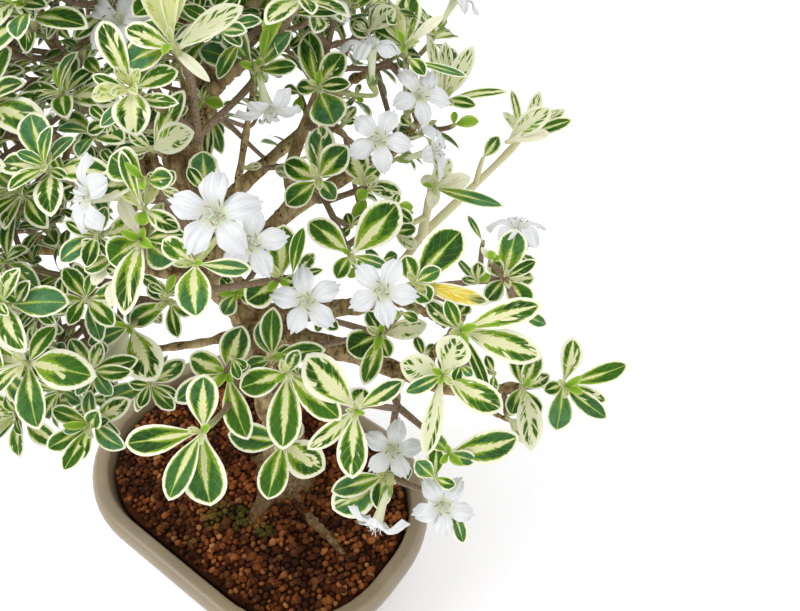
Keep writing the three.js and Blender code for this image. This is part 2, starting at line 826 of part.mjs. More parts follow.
// Triangles of a blade whose base corners are `right`, `left` (upper) and
// `lowRight`, `lowLeft`, and whose outline points start at index `first`.
function bladeTriangles(right, left, lowRight, lowLeft, first) {
  const tip = first + 8;
  const upper = [right, first, first + 1, tip, first + 2, first + 3, left];
  const lower = [lowRight, first + 4, first + 5, tip, first + 6, first + 7, lowLeft];
  const fans = [[0, 1, 2], [0, 2, 3], [6, 0, 3], [6, 3, 4], [6, 4, 5]];
  const triangles = fans.flatMap(([a, b, c]) => [
    [upper[a], upper[b], upper[c]], [lower[a], lower[c], lower[b]],
  ]);
  for (const i of [0, 1, 4, 5]) {
    triangles.push([upper[i], lower[i], lower[i + 1]], [upper[i], lower[i + 1], upper[i + 1]]);
  }
  triangles.push([upper[2], lower[2], tip], [tip, lower[4], upper[4]]);
  return triangles;
}

// The room that a blade takes, a little swollen, to test it against the others.
function bladeRoom(frame, leaf, level, rise) {
  const { points, root } = bladePoints(frame, leaf, level, rise, GAP / 2);
  const triangles = bladeTriangles(0, 1, 2, 3, 4);
  triangles.push([2, 1, 3], [2, 0, 1]);
  return boxed(toSolid(closedGeometry([...root, ...points], triangles)));
}

function boxed(solid) {
  const { min, max } = solid.boundingBox();
  return { solid, box: new THREE.Box3(vec(min), vec(max)) };
}

function meets(a, b) {
  return a.box.intersectsBox(b.box) && !a.solid.intersect(b.solid).isEmpty();
}

// The rings of a rosette's stem from the shoot's foot or fork up to its top,
// and the number of the ring where its first leaves sit.
function stemRings(shoot, r, blooms) {
  const rosette = shoot.rosettes[r];
  const frame = rosetteFrame(rosette);
  const { centre, facing } = frame;
  const { start, heading } = shootStart(shoot);
  const foot = start.clone().addScaledVector(heading, GAP / 2);
  const fork = foot.clone().addScaledVector(heading, 3);
  const bend = centre.clone().addScaledVector(facing, -0.4 * centre.distanceTo(fork));
  const half = fork.clone().lerp(bend, 0.5).lerp(bend.clone().lerp(centre, 0.5), 0.5);
  const rise = bend.clone().sub(fork).normalize();
  const middleWay = centre.clone().sub(fork).normalize();
  const corner = clockWay(frame, frame.hour + 1.5);
  const rings = [];
  if (r === 0) {
    rings.push(ring(foot, heading, corner, 1.2, 4), ring(fork, heading, corner, 1.1, 4));
  } else {
    const inside = fork.clone().addScaledVector(heading, -1.2).addScaledVector(rise, -0.2);
    rings.push(ring(inside, rise, corner, 0.8, 4));
  }
  rings.push(ring(half, middleWay, corner, STEM_RADIUS, 4));
  const first = rings.length;
  const levels = 1 + Math.max(...seatLeaves(rosette.leaves).map(({ level }) => level));
  for (let level = 0; level <= levels; level += 1) {
    rings.push(ring(levelCentre(frame, level), facing, corner, STEM_RADIUS, 4));
  }
  if (blooms.some((bloom) => bloom.onTop && bloom.shoot === shoot.name && bloom.rosette === r)) {
    const brim = levelCentre(frame, 0).addScaledVector(facing, TOP_BLOOM - TUBE_LENGTH - GAP / 2);
    rings.push(ring(brim.clone().addScaledVector(facing, -2.2), facing, corner, 0.7, 4));
    rings.push(ring(brim, facing, corner, 1.4, 4));
  }
  return { rings, first };
}

// A rosette's skin: the lofted stem with blades in place of some of its faces.
function rosetteSolid({ rings, first }, frame, blades) {
  const vertices = rings.flat();
  const taken = new Map(blades.map((blade) => [`${first + blade.level} ${blade.face}`, blade]));
  const triangles = [[0, 3, 2], [0, 2, 1]];
  for (let level = 0; level < rings.length - 1; level += 1) {
    for (let face = 0; face < 4; face += 1) {
      const a = 4 * level + face;
      const b = 4 * level + ((face + 1) % 4);
      const blade = taken.get(`${level} ${face}`);
      if (blade === undefined) {
        triangles.push([a, b, b + 4], [a, b + 4, a + 4]);
      } else {
        triangles.push(...bladeTriangles(a + 4, b + 4, a, b, vertices.length));
        vertices.push(...bladePoints(frame, blade.leaf, blade.level, blade.rise).points);
      }
    }
  }
  const top = 4 * (rings.length - 1);
  triangles.push([top, top + 1, top + 2], [top, top + 2, top + 3]);
  return toSolid(closedGeometry(vertices, triangles));
}

// A stalk and calyx for a bloom that stands off to a rosette's side.
function stalkSolid(shoot, bloom) {
  const centre = vec(shoot.rosettes[bloom.rosette].at);
  const seat = bloom.face.clone().addScaledVector(bloom.axis, -TUBE_LENGTH);
  const cup = seat.clone().addScaledVector(bloom.axis, -2.6);
  const brim = seat.clone().addScaledVector(bloom.axis, -GAP / 2);
  return toSolid(limb([centre, cup, brim], [0.6, 0.7, 1.4], 4));
}

// --------------------------------------------------------------------- bloom
// Five pointed lobes on a funnel, as one skin. The face's middle is the origin,
// facing +Z. Each lobe has a valley, a shoulder, a tip and a shoulder.
function bloomGeometry() {
  const thick = 0.7;
  const around = (share, angle, z) => (
    [share * BLOOM_RADIUS * Math.cos(angle), share * BLOOM_RADIUS * Math.sin(angle), z]
  );
  const outline = [0, 1, 2, 3, 4].flatMap((lobe) => {
    const middle = (lobe * 2 * Math.PI) / 5;
    return [
      around(0.27, middle - Math.PI / 5, 0), around(0.68, middle - 0.33, 0.5),
      around(1, middle, -0.7), around(0.68, middle + 0.33, 0.5),
    ];
  });
  const count = outline.length;
  const tubeEnd = -(TUBE_LENGTH - GAP / 2);
  const tubeRing = (share, z) => [0, 1, 2, 3, 4].map((lobe) => (
    around(share, ((2 * lobe - 1) * Math.PI) / 5, z)
  ));
  const vertices = [
    ...outline, ...outline.map(([x, y, z]) => [x, y, z - thick]), [0, 0, -0.9],
    ...tubeRing(0.22, -1.6), ...tubeRing(0.12, tubeEnd),
  ];
  const throat = 2 * count;
  const mouth = throat + 1;
  const foot = mouth + 5;
  const triangles = [
    [foot, foot + 2, foot + 1], [foot, foot + 3, foot + 2], [foot, foot + 4, foot + 3],
  ];
  for (let i = 0; i < count; i += 1) {
    const j = (i + 1) % count;
    triangles.push([throat, i, j], [i, i + count, j + count], [i, j + count, j]);
  }
  for (let lobe = 0; lobe < 5; lobe += 1) {
    const next = (lobe + 1) % 5;
    const under = count + 4 * lobe;
    const valley = count + 4 * next;
    const [a, b] = [mouth + lobe, mouth + next];
    triangles.push(
      [a, under + 1, under], [a, under + 2, under + 1], [a, b, under + 2],
      [b, under + 3, under + 2], [b, valley, under + 3],
      [a, foot + lobe, foot + next], [a, foot + next, b],
    );
  }
  return closedGeometry(vertices, triangles);
}

// Turns a bloom to face along `axis` with a lobe at an hour of the photograph's clock.
function lobeAt(axis, hour) {
  const way = clockWay(rosetteFrame({ at: [0, 0, 0], leaves: [[hour]] }), hour);
  way.addScaledVector(axis, -way.dot(axis)).normalize();
  const basis = new THREE.Matrix4().makeBasis(way, axis.clone().cross(way), axis);
  return new THREE.Quaternion().setFromRotationMatrix(basis);
}

function allBlooms(shoots) {
  const blooms = BLOOMS.map(([name, shoot, rosette, at, way, hour]) => {
    const [face, axis] = [vec(at), vec(way).normalize()];
    return { name, shoot, rosette, face, axis, turn: lobeAt(axis, hour), onTop: false };
  });
  const topBlooms = DOME_BLOOMS.map((shoot, k) => {
    const { rosettes } = shoots.find(({ name }) => name === shoot);
    const { centre, facing: axis } = rosetteFrame(rosettes[0]);
    const face = centre.clone().addScaledVector(axis, TOP_BLOOM);
    const spin = new THREE.Quaternion().setFromAxisAngle(UP, 2 * draw(50, blooms.length + k));
    const turn = new THREE.Quaternion().setFromUnitVectors(UP, axis).multiply(spin);
    return { name: `bloom_${shoot}`, shoot, rosette: 0, face, axis, turn, onTop: true };
  });
  return [...blooms, ...topBlooms];
}

// ------------------------------------------------------------------ assembly
const placement = new THREE.Matrix4().makeRotationZ(radians(TREE_TURN)).setPosition(0, 0, RIM_Z);
const shoots = [...FRONT_SHOOTS, ...DOME_SHOOTS.map(domeShoot)];
const blooms = allBlooms(shoots);
const wood = woodSolid(shoots);
const flower = bloomGeometry();

const bloomMeshes = blooms.map(({ name, face, turn }) => {
  const mesh = piece(name, flower, material(0xf4f3ee, 0.55));
  mesh.position.copy(face);
  mesh.quaternion.copy(turn);
  mesh.updateMatrix();
  return mesh;
});

// Every stem comes first. Leaves are then tried in turn, one to each rosette a
// round, and one that would cross another piece or blade is left off.
const stems = shoots.map((shoot) => shoot.rosettes.map((_, r) => stemRings(shoot, r, blooms)));
const stalks = shoots.map((shoot) => (
  blooms.filter((bloom) => bloom.shoot === shoot.name && !bloom.onTop)
    .map((bloom) => stalkSolid(shoot, bloom))
));
const bare = shoots.map((shoot, s) => (
  shoot.rosettes.map((rosette, r) => rosetteSolid(stems[s][r], rosetteFrame(rosette), []))
));
const inTheWay = [
  boxed(wood),
  ...bloomMeshes.map((mesh) => boxed(toSolid(flower.clone().applyMatrix4(mesh.matrix)))),
  ...stalks.flat().map(boxed),
];
const stemRooms = bare.map((solids) => solids.map(boxed));
const potMesh = pot();
const soilMesh = soil(rootCavity(placement));
const screens = [screenAt(-DRAIN_X, 'drain_mesh_left'), screenAt(DRAIN_X, 'drain_mesh_right')];
const plain = [potMesh, soilMesh, ...screens];
let used = plain.reduce((sum, mesh) => sum + mesh.geometry.index.count / 3, 0)
  + inTheWay.slice(0, 1 + blooms.length).reduce((sum, { solid }) => sum + solid.numTri(), 0)
  + bare.reduce((sum, solids, s) => sum + join([...solids, ...stalks[s]]).numTri(), 0);

const blades = shoots.map((shoot) => shoot.rosettes.map(() => []));
const bladeRooms = [];
for (let round = 0; round < 6; round += 1) {
  shoots.forEach((shoot, s) => {
    shoot.rosettes.forEach((rosette, r) => {
      const leaf = rosette.leaves[round];
      if (leaf === undefined || used > TRIANGLES) return;
      const { face, level } = seatLeaves(rosette.leaves)[round];
      const frame = rosetteFrame(rosette);
      const rise = leaf[1] * (0.16 * level + 0.2 * draw(s, r, 40 + round));
      const room = bladeRoom(frame, leaf, level, rise);
      const otherStems = stemRooms.flatMap((rooms, i) => (
        rooms.filter((_, j) => i !== s || j !== r)
      ));
      if ([...inTheWay, ...otherStems, ...bladeRooms].some((other) => meets(room, other))) return;
      bladeRooms.push(room);
      blades[s][r].push({ leaf, level, face, rise });
      used += BLADE_TRIANGLES;
    });
  });
}

const tree = new THREE.Group();
tree.applyMatrix4(placement);
tree.add(piece('trunk', toGeometry(wood), material(0x8b7a68, 0.9)));
shoots.forEach((shoot, s) => {
  const rosettes = shoot.rosettes.map((rosette, r) => (
    rosetteSolid(stems[s][r], rosetteFrame(rosette), blades[s][r])
  ));
  const solid = join([...rosettes, ...stalks[s]]);
  tree.add(piece(`shoot_${shoot.name}`, toGeometry(solid), material(0x4f7a3a, 0.5)));
});
tree.add(...bloomMeshes);

// The part's origin is on the ground under the middle of its outline.
const part = new THREE.Group();
part.add(...plain, tree);
part.updateMatrixWorld(true);
const middle = new THREE.Box3().setFromObject(part, true).getCenter(new THREE.Vector3());
part.position.set(-middle.x, -middle.y, 0);

export default part;
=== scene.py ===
"""A serissa bonsai in a low glazed pot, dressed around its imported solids.

The tree is drawn in millimetres in a frame of its own: origin in the middle of the
pot's mouth, level with the rim, -Y towards the tree's front. place() turns it into
the part's frame, in metres.
"""

import math
from collections import namedtuple

import bmesh
import bpy
import numpy as np
from mathutils import Matrix, Vector, noise


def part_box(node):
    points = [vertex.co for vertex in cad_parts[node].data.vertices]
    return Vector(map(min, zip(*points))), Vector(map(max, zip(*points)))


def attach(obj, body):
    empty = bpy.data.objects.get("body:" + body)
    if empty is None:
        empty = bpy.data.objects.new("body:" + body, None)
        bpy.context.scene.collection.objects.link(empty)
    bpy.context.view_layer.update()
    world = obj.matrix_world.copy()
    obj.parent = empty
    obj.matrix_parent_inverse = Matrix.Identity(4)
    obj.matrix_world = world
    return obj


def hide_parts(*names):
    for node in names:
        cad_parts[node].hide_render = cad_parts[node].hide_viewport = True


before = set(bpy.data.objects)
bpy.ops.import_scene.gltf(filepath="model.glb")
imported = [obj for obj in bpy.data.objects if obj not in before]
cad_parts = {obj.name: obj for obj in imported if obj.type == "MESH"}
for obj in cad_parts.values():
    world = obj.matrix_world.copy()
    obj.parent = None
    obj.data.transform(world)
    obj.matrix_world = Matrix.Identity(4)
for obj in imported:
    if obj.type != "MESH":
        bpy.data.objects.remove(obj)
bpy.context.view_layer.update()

# ---------------------------------------------------------------- dimensions, mm
POT_LENGTH, POT_WIDTH, POT_CORNER, RIM_Z = 150, 105, 47.4, 55
FOOT_HEIGHT, FOOT_X, FOOT_Y = 9, 34, 21
FLOOR_Z, FLOOR_INSET, UNDERSIDE_INSET = 15, 18.5, 17
DRAIN_X, DRAIN_RADIUS = 24, 6
SCREEN_SIZE, SCREEN_BARS, BAR_RADIUS = 17, 8, 0.4
SOIL_DROP, SOIL_DOME, SOIL_INSET = 5, 3, 9.3
GRANULE_PITCH, GRANULE_INSET, TRUNK_CLEAR = 2.7, 10.2, 10
GRANULE_ROWS, GRANULE_COLUMNS = 24, 32  # to each side of the middle
TRUNK_FOOT = (11, 2)
BLADE_FOLD, NODE_STEP = 0.35, 1.1
LEAF_WIDER = 1.15  # a leaf's full width over the width of its face in the CAD
TUBE_LENGTH, TOP_BLOOM, BLOOM_RADIUS, LOBES = 10, 16, 7.8, 5
GAP = 0.3
# Painted shade: the bark is drawn darker from this height down towards the soil.
PAINTED_SHADE_TOP, PAINTED_SHADE_FADE = 34, 36  # the bark grows darker from this height down

# Repeatable draws: the seed, and each group's first key and the step to its next.
SEED = 20231
BLOOM_KEY, GRANULE_KEY, STACKED_KEY = 500, 5000, 9000
SHOOT_KEY_STEP, ROSETTE_KEY_STEP = 1000, 100
EXTRA_KEY, EXTRA_KEY_STEP, FILL_KEY, FILL_KEY_STEP = 40000, 400, 80000, 700

# The crown's outline, and the sprays that fill it, down to an elevation in degrees.
DOME_CENTRE, DOME_RADII = np.array([-2, 2, 160]), np.array([80, 82, 84])
FILL_SPRAYS, FILL_LOWEST, GOLDEN_ANGLE = 96, -28, 137.508
SPRAY_REACH, SMALL_REACH = 12.5, 9.5
EXTRA_PIECES, FILL_PIECES = 3, 4
PALE_SHOOT = "right_pale_shoot"  # the one whose stem is cream all the way down

# The photograph's camera in the tree's frame, degrees from that frame to the pot's,
# and the direction from the tree to the camera.
CAMERA_AT, CAMERA_PITCH, CAMERA_LENS = (60.75, -174.75, 300), 47.8, 36
TREE_TURN = 36.5
FRONT = Vector((0, -0.6717, 0.7408)).normalized()
UP = Vector((0, 0, 1))
WORLD_LIGHT, KEY_WATTS, FILL_WATTS = 0.84, 8, 2

# --------------------------------------------------------- the tree, as in the CAD
# Limbs: a chain of points, and the radius at each.
LIMBS = {
    "trunk": (
        [(11, 2, -24), (11, 2, -8), (14, 3, 29), (14, 0, 70), (13, 0, 100), (3, 2, 120), (-1, 4, 143),
         (2, 1, 164), (11, -3, 186), (8, 2, 208), (9, 2, 228)],
        [11, 10.5, 8, 7, 6.8, 5.8, 5, 4.2, 3.4, 2.6, 1.5]),
    "right_low": (
        [(12, 0, 96), (30, -15, 108), (43, -23, 113), (58, -37, 122), (74, -47, 126), (88, -50, 130)],
        [4.6, 3.9, 3.3, 2.4, 1.8, 1.2]),
    "right_mid": (
        [(14, -2, 104), (39, -9, 116), (52, -17, 127), (66, -28, 144), (77, -38, 150)],
        [3.8, 3, 2.4, 1.8, 1.2]),
    "right_high": (
        [(0, 3, 128), (20, 1, 138), (30, -1, 152), (32, -4, 168), (40, 2, 186)],
        [3.4, 2.8, 2.2, 1.8, 1.2]),
    "right_fork": ([(26, 0, 145), (42, 2, 156), (58, 3, 166), (66, 4, 176)], [2.2, 1.9, 1.5, 1.1]),
    "front_low": ([(13, 1, 100), (17, -20, 112), (23, -38, 122), (26, -50, 132)], [3, 2.4, 1.8, 1.2]),
    "front_high": ([(2, 1, 162), (10, -18, 172), (17, -36, 182), (20, -52, 190)], [2.6, 2.1, 1.6, 1.1]),
    "front_left": ([(-1, 4, 140), (-8, -14, 144), (-12, -30, 149)], [2.4, 1.8, 1.2]),
    "left_low": ([(4, 2, 116), (-16, 4, 121), (-34, 2, 129), (-50, -6, 138)], [3.8, 2.9, 2.1, 1.3]),
    "left_high": ([(0, 2, 150), (-15, -2, 166), (-30, -8, 180), (-42, -14, 192)], [2.8, 2.1, 1.6, 1.1]),
    "back_low": ([(1, 3, 130), (0, 22, 136), (-6, 40, 144), (-8, 54, 152)], [3.2, 2.5, 1.8, 1.2]),
    "back_right": ([(0, 4, 138), (18, 22, 146), (34, 36, 154), (46, 46, 162)], [2.8, 2.1, 1.6, 1.1]),
    "back_left": ([(-1, 3, 150), (-18, 18, 158), (-32, 32, 168), (-42, 42, 178)], [2.6, 2, 1.5, 1.1]),
    "top_back": ([(6, -1, 176), (4, 16, 190), (0, 30, 204)], [2.2, 1.7, 1.1]),
    "top_right": ([(11, -2, 190), (24, 8, 204), (34, 16, 214)], [2, 1.6, 1.1]),
    "top_left": ([(8, 2, 204), (-8, 0, 216), (-20, 0, 226)], [2, 1.5, 1.1]),
}

# The shoots that the photograph shows: the limb and how far along it, and the rosettes:
# where each one is, and its leaves as the hour on the rosette's clock, reach, width and,
# unless the leaf is plain green, its kind (see TONES).
FRONT_SHOOTS = [
    ("front_left_low", "front_low", 1, [
        ((19, -80, 156), [(8.7, 16.5, 5.7), (6.8, 15, 5.1), (5.8, 16, 8.1), (0, 12, 6.4)]),
        ((20, -59, 149), [
            (9.8, 9.5, 5.7), (0.6, 11.5, 6.4), (5.4, 16.5, 5.9), (2.5, 6, 2.9), (8, 13, 4.8)]),
    ]),
    ("front_middle_low", "front_low", 0.82, [
        ((35, -63, 154), [(8.4, 11.5, 5.9), (6.1, 17.5, 6.9), (4.3, 16, 6.2), (3.3, 6, 3.2), (1, 6, 3.2)]),
        ((31, -63, 125), [(6.5, 15, 6.7), (4.1, 12.5, 8.7), (9.3, 14, 6.7), (1.3, 7, 4.6)]),
    ]),
    ("front_right_low", "right_low", 0.62, [
        ((51, -71, 151), [
            (10.6, 16.5, 8.1, "c"), (7.7, 14, 4, "c"), (6.1, 14.5, 6.1, "c"), (0.7, 5, 5.4, "c"),
            (1.9, 12.5, 4)]),
        ((57, -69, 119), [(7.9, 16, 8.7), (8.5, 14, 5.2), (6.5, 7.5, 4.8), (2.7, 7, 4.3)]),
        ((72, -74, 138), [(2.6, 17, 7.1), (3.5, 6.5, 3.5, "b"), (10.5, 6.5, 3.6, "b")]),
    ]),
    ("right_front", "right_mid", 1, [
        ((70, -68, 160), [
            (9.5, 9.5, 5.9, "m"), (0.8, 9, 7, "m"), (6.4, 18, 4, "m"), (4, 15.5, 6.2, "c"),
            (8.2, 9, 3.1)]),
        ((74, -58, 163), [
            (3.6, 19.5, 6.3, "c"), (2.4, 18.5, 5.4, "c"), (5.2, 15, 2.7), (10.4, 10, 3.6, "c"),
            (11.2, 7.5, 3.1)]),
    ]),
    ("right_middle", "right_mid", 0.72, [
        ((86, -39, 160), [
            (0.5, 12.5, 6.3), (10.7, 6, 3.7, "c"), (3, 7.5, 4.1, "c"), (4.7, 9, 5.8), (7.3, 7, 4.4),
            (2, 8, 2.9)]),
        ((64, -50, 170), [
            (1.4, 16, 7.9), (3.5, 17.5, 3.6, "o"), (4.7, 5.5, 4.5), (11.4, 6.5, 4.5), (2.1, 6.5, 3.6)]),
    ]),
    ("right_tip", "right_low", 1, [
        ((101, -56, 140), [
            (0.4, 12, 5, "c"), (2.4, 16.5, 4.5), (3.7, 11, 3.2, "c"), (4.3, 12, 4.3),
            (6.3, 11.5, 5.6, "b"), (8.4, 5, 3.4)]),
        ((91, -56, 139), [
            (11.6, 9, 3.8), (0.8, 9.5, 4.2, "c"), (6.7, 7.5, 4.5), (5, 8, 3.8), (2.2, 7.5, 3.5, "c"),
            (5.9, 14, 5.4, "m")]),
    ]),
    ("right_pale_shoot", "right_mid", 0.5, [
        ((96, 19, 159), [
            (11.6, 14.5, 2.4, "c"), (0.7, 14, 3.5, "m"), (1.9, 16, 4.1, "m"), (2.5, 14, 3.5),
            (10.6, 8.5, 2.6, "m")]),
        ((69, -11, 165), [
            (2.5, 10.5, 4.2, "p"), (1.1, 8.5, 4.2, "m"), (11, 4, 3.1, "p"), (3.6, 18.5, 3.1, "b")]),
    ]),
    ("middle_low", "right_low", 0.3, [
        ((56, -49, 151), [
            (8.1, 9, 6.6), (6.6, 12.5, 4.4), (2.6, 11.5, 4.6, "m"), (5.3, 6, 3.9), (11, 6.5, 3.4)]),
        ((30, -53, 147), [
            (11.4, 9.5, 5.4), (0.1, 12, 4.9), (2.3, 5.5, 3.9), (2.7, 13, 4.4), (8.4, 7, 3.4)]),
    ]),
    ("middle", "right_high", 0.3, [
        ((34, -50, 171), [(7.9, 9, 6.1), (0.1, 12.5, 6.3), (10.3, 8.5, 2.5), (3.3, 4, 2.7)]),
        ((20, -38, 154), [(10.5, 5.5, 3.2), (7, 6.5, 4), (3.5, 5, 4)]),
    ]),
    ("middle_right", "right_high", 0.62, [
        ((49, -38, 167), [(10.3, 13, 5.9), (3.6, 9.5, 2.9, "b"), (1.4, 17, 8.3), (7, 6.5, 3.8)]),
        ((52, -18, 172), [(3.5, 9.5, 4.2), (11.2, 9, 6), (1.5, 5.5, 3.5)]),
    ]),
    ("middle_high", "right_high", 0.9, [
        ((41, -21, 176), [
            (9.9, 9.5, 5.1), (0.1, 13.5, 6.6), (1.7, 5.5, 3.4), (7.7, 10, 5.4), (4.7, 6.5, 3.9),
            (1.6, 10, 6.3)]),
        ((41, -5, 191), [
            (11.7, 14, 5.6), (1.3, 10, 5.4), (9.2, 5.5, 3.7), (2, 4, 3.2), (5.2, 9.5, 8.3),
            (3.1, 8, 3.4)]),
    ]),
    ("high_right", "right_fork", 1, [
        ((62, 7, 195), [(0.2, 13.5, 6), (11.2, 11, 5, "y"), (10, 9, 3.5), (1.8, 11.5, 2.4, "p")]),
        ((48, 14, 201), [(4.8, 8, 4.5), (10.7, 7, 3.5), (1.5, 8.5, 4)]),
        ((72, 9, 178), [
            (2.7, 18, 2.4, "c"), (0.1, 16, 3.8, "m"), (1, 15.5, 4.8, "m"), (11.5, 15.5, 2.7, "m"),
            (3.4, 9, 3.2)]),
    ]),
    ("front_high", "front_high", 1, [
        ((25, -75, 201), [(5.9, 9.5, 5.6), (3.2, 10, 3), (10.2, 7, 3.6)]),
        ((13, -65, 197), [
            (7.9, 7.5, 6), (4.2, 7, 5.8), (6.3, 14, 4.8, "c"), (0.9, 8, 2.6, "y"), (11.1, 8.5, 2.6, "p"),
            (2.8, 8.5, 3)]),
        ((15, -61, 208), [(8.7, 9, 4.7), (10.2, 7, 6), (2.8, 5, 3.6)]),
    ]),
    ("left_front_low", "front_left", 1, [
        ((-3, -51, 156), [(5.1, 14, 8.6, "c"), (7.2, 11, 5.9, "p"), (9.7, 9, 4.8), (8.2, 9.5, 3.8)]),
        ((5, -43, 156), [(8.1, 11.5, 4.9), (5.6, 9, 3.4), (3.7, 7, 3.9), (10.4, 7, 4.4)]),
    ]),
    ("front_top", "front_high", 0.45, [
        ((11, -44, 216), [(11.2, 13.5, 4.6, "c"), (5.8, 9, 6.2, "c"), (8.6, 8, 3.2, "y"), (2.3, 9, 3.8)]),
        ((20, -42, 223), [
            (1.9, 14.5, 4.2, "m"), (9.7, 9.5, 3.8, "c"), (11.3, 13, 3.6, "y"), (0.2, 15, 3.4, "y")]),
        ((28, -13, 201), [
            (9.7, 14, 5.7, "b"), (10.9, 13, 5.8, "b"), (2.8, 9.5, 3.4), (1.6, 11.5, 3.8, "b")]),
    ]),
]

# The other shoots: azimuth and elevation on the dome, in degrees, and rosettes beyond
# the usual three as turn, rise and depth.
DOME_SHOOTS = [
    ("back_right_low", "back_right", 0.7, 38, -20),
    ("back_low", "back_low", 0.8, 82, -22),
    ("back_left_low", "back_low", 0.5, 126, -20),
    ("left_low", "left_low", 0.8, 168, -20),
    ("left_front_side", "left_low", 1, 206, -12),
    ("left_front", "left_low", 0.6, 240, -6),
    ("right_back", "back_right", 1, 24, 14),
    ("back_right", "back_right", 0.75, 62, 12),
    ("back", "back_low", 1, 102, 10),
    ("back_left", "back_left", 0.8, 144, 10),
    ("left", "left_high", 0.6, 184, 16),
    ("left_high_front", "left_high", 1, 224, 24, (14, 22, 0.74), (-22, 18, 0.8)),
    ("high_back", "top_back", 1, 84, 46),
    ("high_left_back", "back_left", 1, 142, 46),
    ("high_left", "top_left", 1, 204, 56, (50, 6, 0.84)),
    ("crown", "trunk", 1, 20, 66, (-110, 12, 0.95)),
]

